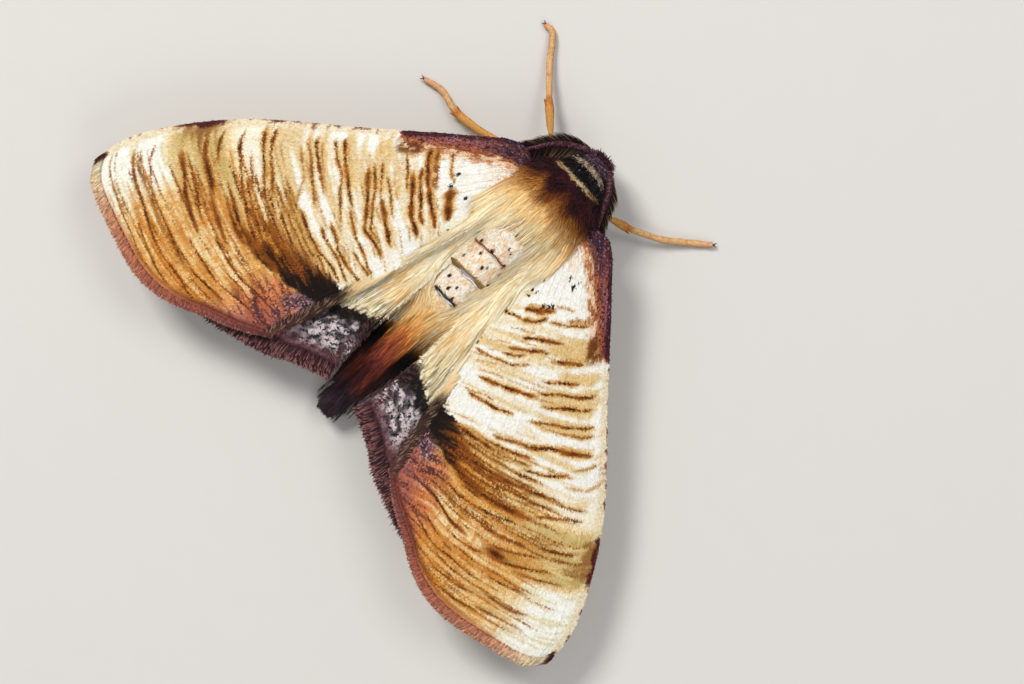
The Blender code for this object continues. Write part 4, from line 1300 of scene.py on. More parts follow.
def rear_colours(x, y, c):
    """The rear of the back: gold that reddens towards a narrow V, black beside it, a dark tuft."""
    places = [2.0, 3.0, 3.8, 5.0, 6.2]
    left = np.interp(y, places, [1.0, 0.66, 0.56, 0.62, 0.66])
    right = np.interp(y, places, [-0.8, -0.52, -0.44, -0.46, -0.5])
    inside = fade(left - x, -0.05, 0.05) * fade(x - right, -0.05, 0.05)
    hollow = 1 - np.abs(x - (left + right) / 2) / 0.28
    lag = np.clip(hollow, -1, 1)
    c = lay(c, (246, 208, 146), fade(y, 0.9, 1.7))
    c = lay(c, (236, 160, 80), fade(y + 0.35 * lag, 1.9, 2.7))
    c = lay(c, (188, 98, 52), fade(y + 0.35 * lag, 2.7, 3.3))
    c = lay(c, (132, 62, 50), fade(y + 0.4 * lag, 3.3, 4.0))
    c = lay(c, (64, 22, 26), fade(hollow, 0.0, 0.6) * fade(y, 4.1, 4.8))
    c = lay(c, (104, 60, 60), till(hollow, -0.8, 0.0) * fade(y, 4.4, 5.2) * 0.6)
    c = lay(c, (60, 46, 58), fade(y, 5.4, 6.1))
    c = lay(c, (20, 14, 14), (1 - inside) * fade(y, 2.9, 3.2) * till(y, 4.1, 4.5))
    return lay(c, (74, 42, 44), (1 - inside) * fade(y, 4.0, 4.4) * till(y, 6.0, 6.4))


def head_colours(x, f, coarse, mottle, grain, c):
    """Collar and head: gold, then maroon in tongues, cream cross lines, a grey brow.

    f is how far each place lies in front of the tail's end.
    """
    reach = f + tongues(x)
    c = lay(c, (232, 200, 140), fade(f, 10.2, 10.9))
    c = lay(c, (190, 124, 52), fade(f + 0.2 * (mottle - 0.5), 11.1, 11.6))
    frayed = reach + 0.4 * (coarse - 0.5) + 0.2 * (grain - 0.5)
    c = lay(c, (104, 50, 16), fade(frayed, 11.55, 11.85) * 0.85)
    c = lay(c, (70, 22, 28), fade(reach + 0.25 * (mottle - 0.5) + 0.06 * x**2, 11.85, 12.1))
    specks = 0.5 * fade(coarse, 0.4, 0.6) + 0.5 * fade(grain, 0.6, 0.9)
    c = lay(c, (36, 14, 20), fade(reach + 0.06 * x**2, 11.9, 12.2) * specks)
    fuzz = 0.1 * (mottle - 0.5) + 0.07 * (grain - 0.5)
    straight, arch = f + 0.02 * x + fuzz, f + 0.13 * (x / 0.8) ** 2 + fuzz
    across = band(x, -1.0, 0.95, 0.12)
    line = band(straight, 12.64, 12.84, 0.03) * across
    c = lay(c, (226, 190, 132), line * (0.25 + 0.9 * fade(mottle, 0.3, 0.5)))
    line = band(straight, 12.68, 12.78, 0.03) * band(x, -0.72, 0.6, 0.1)
    c = lay(c, (250, 232, 196), line * fade(coarse, 0.45, 0.6) * 0.8)
    line = band(straight, 12.6, 12.86, 0.03) * till(coarse + 0.3 * (mottle - 0.5), 0.26, 0.36)
    c = lay(c, (96, 62, 44), line * across * 0.7)
    crown, between_eyes = fade(straight, 12.8, 12.86), band(x, -1.2, 1.1, 0.1)
    c = lay(c, (18, 14, 15), crown * between_eyes)
    c = lay(c, (40, 18, 24), crown * (1 - between_eyes))
    c = lay(c, (120, 106, 100), fade(straight, 12.84, 12.9) * fade(grain, 0.92, 0.98))
    line = band(arch, 13.34, 13.52, 0.03) * band(x, -1.0, 0.95, 0.1)
    c = lay(c, (222, 196, 168), line * (0.45 + 0.7 * fade(mottle, 0.25, 0.6)))
    c = lay(c, (120, 88, 84), band(arch, 13.4, 13.44, 0.02) * fade(mottle, 0.5, 0.7) * 0.6)
    brow = fade(arch, 13.56, 13.66)
    c = lay(c, (84, 58, 74), brow)
    c = lay(c, (166, 138, 158), brow * fade(grain, 0.8, 0.92))
    c = lay(c, (30, 20, 28), brow * till(grain, 0.15, 0.25))
    return lay(c, (74, 28, 44), fade(f - 0.1 * x, 13.82, 13.95) * (0.75 + 0.2 * grain))


def on_limb(p):
    """Which places lie on a leg or a palp, and not on the trunk."""
    x, y, z = p.T
    beside = np.abs(x) > np.interp(y, TRUNK[:, 0], TRUNK[:, 2]) * 0.95 + 0.05
    return beside & (z < 1.45) | (z < 0.62) & (y < 4.0)


def on_palp(p):
    """Which places lie on a palp."""
    return (p[:, 1] < -6.35) & (p[:, 2] < 1.42) & (np.abs(p[:, 0]) < 0.65)


def body_colours(p):
    """The markings of head, thorax, abdomen, palps and legs at the places p."""
    x, y, z = p.T
    f = TAIL_Y - y
    unwrap = np.clip((x + 3) / 6, 0, 1), np.clip((y + 8) / 16, 0, 1)
    mottle, coarse = cloud(*unwrap, 75, 200, 401), cloud(*unwrap, 30, 80, 402)
    grain = np.random.default_rng(403).random(len(x))
    c = all_over((255, 246, 230), x)
    c = lay(c, (255, 212, 160), 0.6 * fade(mottle + 0.3 * (grain - 0.5), 0.48, 0.7))
    c = lay(c, (240, 180, 122), 0.45 * fade(coarse + 0.2 * (grain - 0.5), 0.56, 0.76) * (f < 9.9))
    c = lay(c, (232, 178, 100), 0.6 * band(y, -3.3, -2.3, 0.2) * fade(mottle, 0.46, 0.62))
    above = z - np.interp(y, TRUNK[:, 0], TRUNK[:, 1])
    upper = fade(above, 0.1, 0.4)
    for at, left, right, half, rim, _, _ in CLEFTS:
        line = np.abs(y - at - CLEFT_BOW * np.sin(2.2 * x + at))
        c = lay(c, rim, band(x, -right, left, 0.06) * upper * till(line, half, half + 0.04) * 0.8)
    for at_x, at_y, size in FLECKS:
        near = (np.abs(x - at_x) < 0.2) & (np.abs(y - at_y) < 0.2)
        away = np.hypot(x[near] - at_x, (y[near] - at_y) * 0.7) + 0.02 * (grain[near] - 0.5)
        c[near] = lay(c[near], (40, 24, 16), till(away, size, size * 1.5) * upper[near])
    c = rear_colours(x, y + 0.22 * (mottle - 0.5) + 0.1 * (grain - 0.5), c)
    c = head_colours(x, f, coarse, mottle, grain, c)
    low = 1 - fade(above, -0.9, 0.1)
    c = lay(c, (222, 194, 146), low * fade(-f, -12.4, -11.8) * till(y, 3.0, 4.6) * 0.8)
    c = lay(c, (96, 46, 48), low * fade(f, 11.9, 12.6) * 0.8)
    limb = on_limb(p)
    c[limb] = leg_colours(p[limb])
    return lay(c, (104, 52, 54), on_palp(p))


leg_steps = np.linspace(0, 1, 90)
leg_lines = np.array([along(path, leg_steps) for path in LEG_PATHS.values()])


def on_leg(p):
    """Which leg each place lies on, how far along it, and the nearest point of its middle line."""
    places = leg_lines.reshape(-1, 3)
    batches = np.array_split(p, len(p) // 4000 + 1)
    nearest = np.concatenate([((some[:, None] - places) ** 2).sum(2).argmin(1) for some in batches])
    return nearest // len(leg_steps), leg_steps[nearest % len(leg_steps)], places[nearest]


def leg_colours(p):
    """Ochre shins, paler feet, pinkish knees, with an orange patch at the end of the shin."""
    leg, t, _ = on_leg(p)
    shin_end = np.array([SHIN_END[name.split("_")[0]] for name in LEG_PATHS])[leg]
    rng = np.random.default_rng(77)
    c = all_over((222, 168, 96), p)
    c = lay(c, (214, 152, 76), fade(t, 0.35, 0.4) * (rng.random(len(p)) < 0.7))
    c = lay(c, (232, 160, 120), np.exp(-(((t - 0.33) / 0.02) ** 2)))
    c = lay(c, (196, 104, 40), np.exp(-(((t - shin_end + 0.015) / 0.022) ** 2)) * 0.6)
    c = lay(c, (234, 184, 130), fade(t, shin_end, shin_end + 0.03) * 0.9)
    joint = ((t - shin_end) / (1 - shin_end) * 5) % 1
    c = lay(c, (204, 142, 84), (t > shin_end + 0.02) * till(joint, 0.0, 0.22) * 0.7)
    c = lay(c, (236, 174, 136), fade(t, 0.8, 0.98) * 0.7)
    return c * (0.92 + 0.12 * rng.random((len(p), 1)))


tint(body_skin.data, body_colours(coordinates(body_skin.data)))
skin_points, skin_ways = coordinates(body_skin.data), normals(body_skin.data)
move_points(body_skin.data, (skin_points + PLAN) * MM)
body_skin.data.shade_smooth()
body_skin_material = scaly_material("body_skin", 0.6, 12000, 0.6, 0.0)
finish_piece(
    body_skin, body_skin_material, "body_hair", *FLESH, "palp_left", "palp_right",
    *("leg_" + name for name in LEG_PATHS),
)

# ---------------------------------------------------------------------------- short coat of the body
# Small flat scales that lie backwards over the trunk and down the legs, and standing tufts of
# narrow scales on head and collar. Each grows from its own socket in the skin.

coat_material = scaly_material("body_coat", 0.55, 9000, 0.2, 0.1)
leg_material = scaly_material("leg_coat", 0.45, 9000, 0.2, 0.0)


def around_trunk(p):
    """Places on an unwrap of the trunk: along its length and round its middle line."""
    middle = np.interp(p[:, 1], TRUNK[:, 0], TRUNK[:, 1])
    turn = np.arctan2(p[:, 0], p[:, 2] - middle) / (2 * np.pi) + 0.5
    return np.column_stack([(p[:, 1] + 7.0) / 14.6, turn])


def along_surface(ways, ups):
    """Directions laid flat on the surface."""
    return unit(ways - ups * (ways * ups).sum(1, keepdims=True))


def tufts(name, roots, ups, ways, length, width, lift, spots, colours, material, slot, rng, steps):
    """Short blades that leave the skin along ways and rise by lift."""
    flat = along_surface(ways, ups)
    size = (length * rng.uniform(0.7, 1.25, len(roots)))[:, None]
    raised = (lift * rng.uniform(0.5, 1.5, len(roots)))[:, None]
    t = np.linspace(0, 1, steps)[None, :, None]
    rise = ups[:, None] * (raised * size)[:, None] * (t * (2 - t))
    lines = roots[:, None] + flat[:, None] * size[:, None] * t * (1 - 0.25 * raised[:, None]) + rise
    shape = np.interp(np.linspace(0, 1, steps), [0, 0.4, 1], [0.7, 1.0, 0.0])
    widths = (width * rng.uniform(0.7, 1.3, len(roots)))[:, None] * shape[None]
    beat = rng.uniform(0.84, 1.1, (len(roots), 1))
    shades = colours * beat
    blades = strands(name, lines, widths, ups, shades * 0.88, shades * 1.06, spots, 0.35)
    finish_piece(blades, material, slot)


rng = np.random.default_rng(500)
is_limb, is_palp = on_limb(skin_points), on_palp(skin_points)
from_tail = TAIL_Y - skin_points[:, 1]
is_head = (from_tail > 11.3) & (from_tail < 14.6) & ~is_limb | is_palp
away_from_eye = np.min(
    [np.linalg.norm(skin_points - np.array(centre), axis=1) for centre in EYES.values()], axis=0
)


def chosen(mask, count):
    """Random points of the skin within a mask, shifted off the lattice."""
    found = rng.choice(np.flatnonzero(mask), count, replace=True)
    shift = along_surface(rng.normal(size=(count, 3)), skin_ways[found])
    shift = shift * rng.uniform(0, 0.025, (count, 1))
    return skin_points[found] + shift, skin_ways[found]


roots, ups = chosen(~is_limb & ~is_head, 22000)
ways = np.array([0.0, 1, 0]) + 0.22 * rng.normal(size=roots.shape)
tufts(
    "body_scales", roots, ups, ways, 0.13, 0.045, 0.14, around_trunk(roots),
    body_colours(roots + [0, 0.06, 0]), coat_material, "body_hair", rng, 2,
)
roots, ups = chosen(is_head & (away_from_eye > EYE_RADIUS + 0.1), 12000)
behind = fade(TAIL_Y - roots[:, 1], 12.6, 11.4)
ways = np.array([0.0, 1, 0.1]) + (0.35 - 0.2 * behind)[:, None] * rng.normal(size=roots.shape)
ways[:, 0] += 0.5 * roots[:, 0]
tufts(
    "head_scales", roots, ups, ways, 0.17 + 0.25 * behind, 0.03, 0.55 - 0.25 * behind,
    around_trunk(roots), body_colours(roots), coat_material, "head_scales", rng, 3,
)
roots, ups = chosen(is_limb & ~is_palp, 9000)
leg, t, middles = on_leg(roots)
ahead = np.array([unit(np.gradient(line, axis=0)) for line in leg_lines])
ways = ahead[leg, (t * (len(leg_steps) - 1)).astype(int)] + 0.15 * rng.normal(size=roots.shape)
turn = np.arctan2((roots - middles)[:, 2], (roots - middles)[:, 0]) / (2 * np.pi) + 0.5
tufts(
    "leg_scales", roots, ups, ways, 0.1, 0.036, 0.1, np.column_stack([t, (leg + turn) / 6]),
    leg_colours(roots), leg_material, "leg_scales", rng, 2,
)

# ---------------------------------------------------------------------------- long hair
# Silky hair that grows from thorax and flanks, lies backwards over body and wing roots, meets in
# a V on the abdomen and ends in the dark tuft of the tail. Each strand follows the skin under it.

hair_material = scaly_material("long_hair", 0.5, 7000, 0.08, 0.05)
HAIR_POINTS = 5  # of each strand
HAIR_LINES = [  # streams in which the hair lies, from front to rear
    [(0.76, -2.05), (1.08, -1.3), (1.22, -0.15), (0.82, 0.95), (0.27, 1.75), (0.1, 2.6),
     (0.04, 4.4), (0.2, 7.2)],
    [(0.85, -4.6), (1.2, -3.4), (1.27, -2.35), (1.28, -1.25), (1.45, 0.15), (1.68, 1.25),
     (2.0, 3.0), (2.3, 5.0)],
    [(-0.96, -1.25), (-0.65, -0.15), (-0.52, 0.65), (-0.1, 1.95), (0.0, 2.6), (-0.02, 4.4),
     (-0.2, 7.2)],
    [(-0.9, -4.6), (-1.3, -3.6), (-1.33, -2.05), (-1.22, -1.35), (-1.45, -0.35), (-1.75, 1.0),
     (-2.1, 3.0), (-2.4, 5.0)],
    [(0.0, -4.9), (0.02, -3.6), (0.05, -2.2)],
    [(0.0, 2.2), (0.0, 4.4), (0.0, 7.2)],
]
HEIGHT_STEP = 0.08  # of the grid of heights from which the hair takes its level
HEIGHT_LOW, HEIGHT_HIGH = (-4.0, -7.6), (4.0, 8.0)
GROUND_SKINS = [
    "body_skin", "forewing_skin_left", "forewing_skin_right", "hindwing_skin_left",
    "hindwing_skin_right",
]

bpy.context.view_layer.update()
depsgraph = bpy.context.evaluated_depsgraph_get()
grounds = [BVHTree.FromObject(bpy.data.objects[name], depsgraph) for name in GROUND_SKINS]
grid_x = np.arange(HEIGHT_LOW[0], HEIGHT_HIGH[0], HEIGHT_STEP)
grid_y = np.arange(HEIGHT_LOW[1], HEIGHT_HIGH[1], HEIGHT_STEP)
heights = np.full((len(grid_y), len(grid_x)), 0.6)
for i, y in enumerate(grid_y):
    for j, x in enumerate(grid_x):
        start = Vector((np.array([x, y, 7.0]) + PLAN) * MM)
        for tree in grounds:
            hit = tree.ray_cast(start, Vector((0, 0, -1)))[0]
            if hit:
                heights[i, j] = max(heights[i, j], hit.z / MM)
softened = heights.copy()
for _ in range(3):
    padded = np.pad(softened, 1, mode="edge")
    softened = (padded[:-2, 1:-1] + padded[2:, 1:-1] + padded[1:-1, :-2] + padded[1:-1, 2:]) / 4
heights = np.maximum(heights, softened)


def height_at(x, y):
    """How high the skin lies under a place, between the points of the grid."""
    fx = np.clip((x - HEIGHT_LOW[0]) / HEIGHT_STEP, 0, len(grid_x) - 1.001)
    fy = np.clip((y - HEIGHT_LOW[1]) / HEIGHT_STEP, 0, len(grid_y) - 1.001)
    i, j = fy.astype(int), fx.astype(int)
    a, b = fx - j, fy - i
    near = heights[i, j] * (1 - a) + heights[i, j + 1] * a
    far = heights[i + 1, j] * (1 - a) + heights[i + 1, j + 1] * a
    return near * (1 - b) + far * b


guide_places, guide_ways = [], []
for line in HAIR_LINES:
    steps = np.linspace(0, 1, 40)
    path = along([(x, y, 0) for x, y in line], steps)[:, :2]
    guide_places.append(path)
    guide_ways.append(unit(np.gradient(path, axis=0)))
guide_places, guide_ways = np.vstack(guide_places), np.vstack(guide_ways)


def hair_way(p):
    """The direction in which the hair lies at a place."""
    apart = ((p[:, None] - guide_places[None]) ** 2).sum(2)
    weight = 1 / (apart + 0.02) ** 2
    return unit((weight[..., None] * guide_ways[None]).sum(1))


def hair_colours(f):
    """From the maroon collar through gold to straw, at so far in front of the tail's end."""
    c = all_over((255, 243, 214), f)
    c = lay(c, (255, 230, 180), fade(f, 9.8, 10.8))
    c = lay(c, (234, 172, 88), fade(f, 10.9, 11.5))
    c = lay(c, (160, 86, 22), fade(f, 11.3, 11.7))
    return lay(c, (60, 18, 24), fade(f, 11.72, 12.0))


def hair_paths(starts, size, drift):
    """Ways over the body that follow the lie of the coat from their starts."""
    place, path = starts, []
    for _ in range(HAIR_POINTS):
        path.append(place)
        way = hair_way(place)
        across = np.column_stack([-way[:, 1], way[:, 0]])
        place = place + unit(way + across * drift[:, None]) * (size / (HAIR_POINTS - 1))[:, None]
    return np.stack(path, axis=1)


def slopes(places, far):
    """How steeply the skin rises at places along X and along Y."""
    x, y = places.T
    slope_x = (height_at(x + far, y) - height_at(x - far, y)) / (2 * far)
    slope_y = (height_at(x, y + far) - height_at(x, y - far)) / (2 * far)
    return np.column_stack([slope_x, slope_y])


def laid_hair(name, starts, reach, layer, thick, clumps, slot, shade):
    """Strands that start at places on the skin, follow the lie of the coat and gather in locks."""
    count = len(starts)
    size = reach * rng.uniform(0.65, 1.2, count)
    centres = starts[rng.choice(count, clumps, replace=False)]
    member = ((starts[:, None] - centres[None]) ** 2).sum(2).argmin(1)
    drift = rng.normal(0, 0.07, clumps)[member] + rng.normal(0, 0.05, count)
    path = hair_paths(starts, size, drift)
    t = np.linspace(0, 1, HAIR_POINTS)
    ends = path[:, -1]
    shared = np.zeros((clumps, 2))
    for k in np.unique(member):
        shared[k] = ends[member == k].mean(0)
    pull = (shared[member] - ends)[:, None] * 0.3 * t[None, :, None] ** 2
    path = path + np.clip(pull, -0.12, 0.12)
    lift = layer * rng.uniform(0.25, 1.0, count)[:, None] + 0.015 * rng.random((clumps, 1))[member]
    ground = height_at(path[..., 0], path[..., 1])
    z = ground + 0.015 + lift * np.interp(t, [0, 0.25, 0.7, 1], [-0.4, 0.8, 1.0, 0.75])[None]
    fall = 0.9 * (size / (HAIR_POINTS - 1))
    for k in range(1, HAIR_POINTS):
        z[:, k] = np.maximum(z[:, k], z[:, k - 1] - fall)
    z[:, 1:-1] = (z[:, :-2] + 2 * z[:, 1:-1] + z[:, 2:]) / 4
    lines = np.dstack([path, z])
    shape = np.interp(t, [0, 0.3, 0.8, 1], [0.7, 1, 0.75, 0.05])
    widths = thick * rng.uniform(0.7, 1.3, (count, 1)) * shape
    tilt = np.clip(-slopes(path[:, HAIR_POINTS // 2], HEIGHT_STEP * 1.5), -1.0, 1.0)
    tilt = tilt + rng.normal(0, 0.05, (count, 2))
    rolled = unit(np.column_stack([tilt, np.ones(count)]))
    beat = (rng.uniform(0.93, 1.05, clumps)[member] * rng.uniform(0.9, 1.06, count))[:, None]
    tan, pale = [[0.95, 0.84, 0.64]], [[1.0, 0.985, 0.95]]
    beat = beat * np.where(rng.random((count, 1)) < 0.3, tan, pale)
    beat = beat * np.where(starts[:, 1:] > 2.0, rng.uniform(0.62, 1.18, (count, 1)), 1.0)
    roots = shade(starts) * beat * 0.98
    tips = shade(starts * 0.35 + path[:, -1] * 0.65) * beat
    spots = around_trunk(np.column_stack([starts, lines[:, 0, 2]]))
    laid = np.diff(ground, axis=1).max(axis=1) < 0.28
    hair = strands(
        name, lines[laid], widths[laid], rolled[laid], roots[laid], tips[laid], spots[laid], 0.11,
    )
    finish_piece(hair, hair_material, slot)


def bare_back(x, y):
    """Where the back between the streams of hair shows its scales."""
    places = [-2.6, -1.3, -0.1, 1.0, 1.6]
    left = np.interp(y, places, [0.45, 0.92, 1.02, 0.66, 0.25])
    right = np.interp(y, places, [-0.45, -0.86, -0.62, -0.4, -0.1])
    return (y > -2.6) & (y < 1.6) & (x < left) & (x > right)


def coat_shade(p):
    """The shade of a hair over each place, from the collar to the tail."""
    f = TAIL_Y - p[:, 1] + 0.3 * (rng.random(len(p)) - 0.5)
    return rear_colours(p[:, 0], p[:, 1], hair_colours(f + tongues(p[:, 0]) * fade(f, 11.0, 11.5)))


rng = np.random.default_rng(600)
spread = rng.random((9000, 2))
starts = np.column_stack([(spread[:, 0] - 0.5) * 3.3, -4.75 + 1.75 * spread[:, 1] ** 1.3])
starts = starts[np.abs(starts[:, 0]) < np.interp(starts[:, 1], [-4.75, -4.2, -3.0], [1.22, 1.6, 1.64])]
middle_back = (np.abs(starts[:, 0]) < 0.75) & (starts[:, 1] > -3.7)
starts = starts[~(middle_back & (rng.random(len(starts)) < 0.75))][:4600]
mantle_reach = np.interp(np.abs(starts[:, 0]), [0.2, 0.8, 1.4], [0.95, 1.3, 1.9])
laid_hair("mantle_hair", starts, mantle_reach, 0.055, 0.034, 260, "body_hair", coat_shade)

starts = []
for side, inner in ((1, [0.7, 1.06, 1.2, 0.84, 0.4]), (-1, [0.74, 0.94, 0.76, 0.54, 0.24])):
    y = rng.uniform(-3.4, 1.7, 1900)
    near = np.interp(y, [-3.0, -1.3, -0.1, 1.0, 1.7], inner)
    x = near + rng.random(len(y)) ** 1.1 * np.interp(y, [-3.4, -1.0, 1.7], [0.8, 0.62, 0.85])
    starts.append(np.column_stack([x * side, y]))
starts = np.vstack(starts)
flank_reach = np.clip((2.95 + 0.4 * (np.abs(starts[:, 0]) - 0.8) - starts[:, 1]) / 1.05, 0.5, 1.5)
laid_hair("flank_hair", starts, flank_reach, 0.045, 0.034, 200, "body_hair", coat_shade)

starts = np.column_stack([rng.normal(0, 0.27, 2200), rng.uniform(1.35, 4.4, 2200)])
starts = starts[~bare_back(*starts.T)]
laid_hair("rear_hair", starts, 1.15, 0.08, 0.03, 120, "body_hair", coat_shade)
starts = []
for inner, outer in ((0.52, 1.1), (-0.4, -0.95)):
    y = rng.uniform(2.9, 5.7, 800)
    x = inner + (outer - inner) * rng.random(800) * np.interp(y, [2.9, 4.0, 5.7], [1.0, 0.8, 0.35])
    starts.append(np.column_stack([x, y]))
starts = np.vstack(starts)
laid_hair("side_hair", starts, 0.62, 0.15, 0.034, 110, "body_hair", coat_shade)

starts = np.column_stack([rng.normal(0, 0.24, 1700), rng.uniform(4.2, 6.7, 1700)])
laid_hair("tail_tuft_hair", starts, 0.62, 0.16, 0.036, 100, "tail_hair", coat_shade)


# The clefts themselves: narrow folds of bare skin that lie open between the rows of scales.
fold_lines, fold_widths, fold_tones = [], [], []
for at, left, right, half, rim, deep, lip in CLEFTS:
    for shift, share, low, high, tone in (
        (0.0, 1.0, 0.0, 1.0, rim),
        (0.25, 0.42, 0.28, 0.72, deep),
        (0.85, 0.26, 0.08, 0.86, lip),
    ):
        x = np.linspace(-right, left, 30)[int(30 * low) : int(30 * high)]
        x = np.interp(np.linspace(0, 1, 24), np.linspace(0, 1, len(x)), x)
        y = at + CLEFT_BOW * np.sin(2.2 * x + at) + 0.018 * np.sin(11 * x + at) + shift * half
        swell = np.sin(np.pi * np.linspace(0.06, 0.97, 24)) ** 0.5
        swell = swell * (1 + 0.22 * np.sin(9 * x + 3 * at))
        lift = 0.02 + 0.014 * (len(fold_lines) % 3)
        fold_lines.append(np.column_stack([x, y, height_at(x, y) + lift]))
        fold_widths.append(2.0 * half * share * swell)
        fold_tones.append(tone)
fold_tones = np.array(fold_tones, float)
fold_ups = np.tile([0.0, 0.0, 1.0], (len(fold_lines), 1))
fold_spots = np.full((len(fold_lines), 2), 0.5)
folds = strands(
    "back_folds", np.array(fold_lines), np.array(fold_widths), fold_ups, fold_tones,
    fold_tones * 0.8, fold_spots, 0.05,
)
finish_piece(folds, coat_material, "body_hair")


def pale_shade(p):
    """Cream to the black bar of the hindwing, dark olive over it."""
    dark = fade(p[:, 1] - 0.55 * (np.abs(p[:, 0]) - 0.8), 3.15, 3.35)
    return lay(hair_colours(TAIL_Y - p[:, 1]), (40, 30, 24), dark)


starts = []
for side in (1, -1):
    y = rng.uniform(-0.6, 3.3, 1000)
    inner = np.interp(y, [-0.6, 1.0, 2.0], [1.25, 0.95, 0.58] if side > 0 else [0.85, 0.7, 0.55])
    x = inner + rng.random(1000) * np.interp(y, [-0.6, 3.3], [0.5, 1.7])
    starts.append(np.column_stack([x * side, y]))
starts = np.vstack(starts)
to_bar = 3.1 + 0.55 * (np.abs(starts[:, 0]) - 0.8) - starts[:, 1]
pale_reach = np.where(to_bar > 0.12, np.clip(to_bar * 0.92, 0.2, 1.1), 0.55)
laid_hair("hindwing_hair", starts, pale_reach, 0.04, 0.034, 90, "hindwing_scales", pale_shade)

# ---------------------------------------------------------------------------- feelers
# A scaled shaft of some eighty short joints, bulged like beads, with two rows of fine comb
# teeth. Both shafts bend back from the brow, round the front of the head and along the wing edge.

FEELERS = {
    "left": [
        (0.34, -6.52, 2.34), (0.66, -6.42, 2.56), (1.04, -6.18, 2.62), (1.42, -5.88, 2.56),
        (1.72, -5.52, 2.42), (1.95, -5.12, 2.26), (2.3, -4.6, 2.02), (3.0, -3.8, 1.84),
        (3.95, -2.8, 1.78), (4.8, -1.9, 1.76),
    ],
    "right": [
        (-0.56, -6.46, 2.34), (-0.82, -6.24, 2.58), (-1.1, -5.93, 2.6), (-1.32, -5.58, 2.48),
        (-1.5, -5.23, 2.32), (-1.7, -4.9, 2.16), (-2.12, -4.42, 1.98), (-2.92, -3.7, 1.84),
        (-3.9, -2.85, 1.78), (-4.75, -1.95, 1.76),
    ],
}
FEELER_JOINTS, FEELER_SIDES = 84, 12
TOOTH_LENGTH = 0.62


def feeler_radius(t):
    """A bulb at the root, then beads that grow thinner to the tip."""
    bead = 0.02 * np.abs(np.sin(np.pi * FEELER_JOINTS * t))
    bulb = 0.075 * np.exp(-((t / 0.022) ** 2))
    return np.interp(t, [0, 0.3, 0.6, 1], [0.098, 0.092, 0.07, 0.045]) + bead + bulb


for word, path in FEELERS.items():
    rng = np.random.default_rng(700 + len(word))
    rings = FEELER_JOINTS * 4 + 1
    points, faces = pipe(path, feeler_radius, rings, FEELER_SIDES)
    shaft = add_mesh("feeler_shaft_" + word, (points + PLAN) * MM, faces)
    t = np.repeat(np.linspace(0, 1, rings), FEELER_SIDES)
    ring = np.abs(np.sin(np.pi * FEELER_JOINTS * t))
    c = all_over((92, 36, 46), t) * rng.uniform(0.6, 1.2, (len(t), 1))
    c = lay(c, (20, 9, 14), 1 - fade(ring, 0.35, 0.9))
    # painted highlights: pinkish lilac on the crests of some beads stands for light caught by the
    # rings
    c = lay(c, (176, 136, 160), fade(ring, 0.7, 0.95) * (rng.random(len(t)) < 0.35) * 0.8)
    tint(shaft.data, c)
    shaft.data.shade_smooth()
    shaft_material = scaly_material("feeler_shaft_" + word, 0.5, 16000, 0.4, 0.1)
    finish_piece(shaft, shaft_material, "antenna_scales", "antenna_" + word)
    # comb teeth, two to a joint
    at = np.repeat((np.arange(6, 2 * FEELER_JOINTS - 4) + 0.5) / (2 * FEELER_JOINTS), 2)
    row = np.tile([1.0, -1.0], len(at) // 2)
    middle = along(path, at)
    ahead = unit(along(path, at + 0.01) - middle)
    aside = unit(np.cross(ahead, [0, 0, 1])) * row[:, None]
    size = TOOTH_LENGTH * np.interp(at, [0.04, 0.16, 0.75, 1.0], [0.1, 1.0, 0.9, 0.15])
    size *= rng.uniform(0.9, 1.1, len(at)) * np.tile([1.0, 1.0, 0.8, 0.8], len(at) // 4 + 1)[: len(at)]
    inner = (row < 0) == (word == "left")
    spread = np.where(inner & (at < 0.68), 1.15, 0.62)[:, None]
    steps = np.linspace(0, 1, 5)[None, :, None]
    bent = aside * spread + ahead * 0.62 + np.array([0, 0, 0.02])
    curl = ahead * 0.22 - aside * 0.06 - np.array([0, 0, 0.2])
    lines = middle[:, None] + aside[:, None] * 0.05
    lines = lines + size[:, None, None] * (bent[:, None] * steps + curl[:, None] * steps**2)
    widths = np.tile(0.034 * np.array([1.2, 1, 0.95, 0.85, 0.4]), (len(at), 1))
    root = all_over((28, 17, 16), at) * rng.uniform(0.6, 1.4, (len(at), 1))
    # painted highlights: gold on the tips of some teeth stands for glints of light on the comb
    tip = lay(root * 1.1, (206, 168, 108), (rng.random(len(at)) < 0.16) * 0.8)
    spots = np.column_stack([at, 0.5 + 0.2 * row])
    ups = unit(np.cross(lines[:, -1] - lines[:, 0], ahead) * row[:, None] + np.array([0, 0, 0.2]))
    comb = strands("feeler_comb_" + word, lines, widths, ups, root, tip, spots, 0.8)
    finish_piece(comb, hair_material, "antenna_scales")

# ---------------------------------------------------------------------------- eyes
# Two glossy dark domes of fine hexagonal facets, set in the sides of the head.

eye_material = bpy.data.materials.new("eye_facets")
eye_material.use_nodes = True
tree = eye_material.node_tree
shader = tree.nodes["Principled BSDF"]
shader.inputs["Roughness"].default_value = 0.22
shader.inputs["Specular IOR Level"].default_value = 0.35
place = add_node(tree, "TexCoord", {})
facets = add_node(tree, "TexVoronoi", {"Scale": 32000})
mottle = add_node(tree, "TexNoise", {"Scale": 2600})
ramp = add_node(tree, "ValToRGB", {})
ramp.color_ramp.elements[0].color = (0.006, 0.004, 0.004, 1)
ramp.color_ramp.elements[1].color = (0.03, 0.014, 0.012, 1)
domes = add_node(tree, "Bump", {"Strength": 0.5, "Distance": 0.00001})
domes.invert = True
connect(place, "Object", facets, "Vector")
connect(place, "Object", mottle, "Vector")
connect(mottle, "Fac", ramp, "Fac")
connect(ramp, "Color", shader, "Base Color")
connect(facets, "Distance", domes, "Height")
connect(domes, "Normal", shader, "Normal")
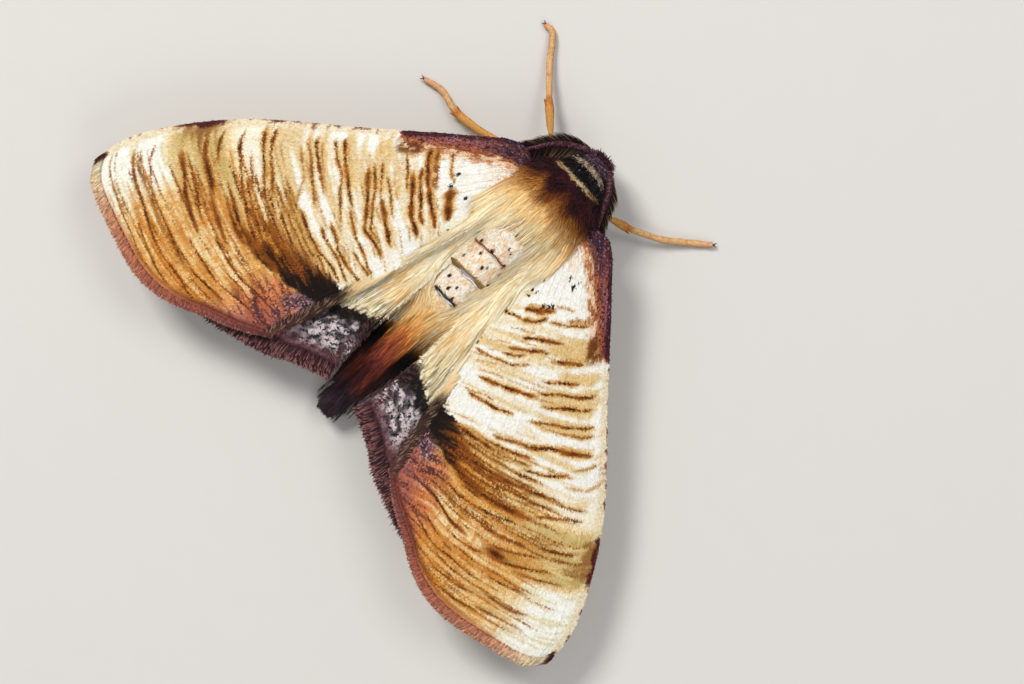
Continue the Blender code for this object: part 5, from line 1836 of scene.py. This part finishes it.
for side, word in SIDES:
    bpy.ops.mesh.primitive_uv_sphere_add(segments=64, ring_count=48, radius=EYE_RADIUS)
    eye = bpy.context.object
    eye.name = eye.data.name = "eye_dome_" + word
    move_points(eye.data, (coordinates(eye.data) * [0.88, 1.0, 1.06] + EYES[side] + PLAN) * MM)
    eye.data.shade_smooth()
    finish_piece(eye, eye_material, "eye_facets", "eye_" + word)

# ---------------------------------------------------------------------------- claws and spurs
# Two hooked claws on each foot, and the horny spurs at the ends of the shins.

CLAW_BROWN, SPUR_ORANGE = (112, 66, 40), (206, 120, 60)
CLAW_WIDTHS = 0.055 * np.array([1, 0.95, 0.75, 0.5, 0.08])
SPUR_WIDTHS = 0.075 * np.array([1, 1.1, 0.95, 0.7, 0.1])
SPURS = {"front": [0.47], "middle": [0.64], "hind": [0.5, 0.6]}  # how far down each leg
ONE_SPUR = {"front_left": (-1,), "front_right": (1,)}  # which side a lone spur stands on


def leg_directions(path, at, after):
    """Two places on a leg, and the directions from one to the other and aside."""
    first, last = along(path, np.array([at, after]))
    ahead = unit(last - first)
    return first, last, ahead, unit(np.cross(ahead, [0, 0, 1]))


horn_lines, horn_widths, horn_spots, horn_tones = [], [], [], []
steps = np.linspace(0, 1, 5)[:, None]
for number, (leg, path) in enumerate(LEG_PATHS.items()):
    _, toe, ahead, aside = leg_directions(path, 0.985, 1.0)
    for turn in (-1, 1):
        hook = toe + (ahead * 0.17 + aside * 0.09 * turn) * steps
        hook = hook + np.array([0, 0, 1.0]) * (0.07 * np.sin(np.pi * steps) - 0.075 * steps**2)
        horn_lines.append(hook)
        horn_widths.append(CLAW_WIDTHS)
        horn_spots.append([0.9, (number + 0.5) / 6])
        horn_tones.append(CLAW_BROWN)
    for at in SPURS[leg.split("_")[0]]:
        shin, _, ahead, aside = leg_directions(path, at, at + 0.01)
        for turn in ONE_SPUR.get(leg, (-1, 1)):
            spur = (ahead * 0.3 + aside * 0.07 * turn - np.array([0, 0, 0.05])) * steps
            horn_lines.append(shin + aside * 0.12 * turn + spur)
            horn_widths.append(SPUR_WIDTHS)
            horn_spots.append([at, (number + 0.5) / 6])
            horn_tones.append(SPUR_ORANGE)
horn_tones = np.array(horn_tones, float)
horn_ups = np.tile([0.0, 0.0, 1.0], (len(horn_lines), 1))
claws = strands(
    "claws_and_spurs", np.array(horn_lines), np.array(horn_widths), horn_ups, horn_tones,
    horn_tones * 0.7, np.array(horn_spots), 0.9,
)
finish_piece(claws, leg_material, "leg_scales")
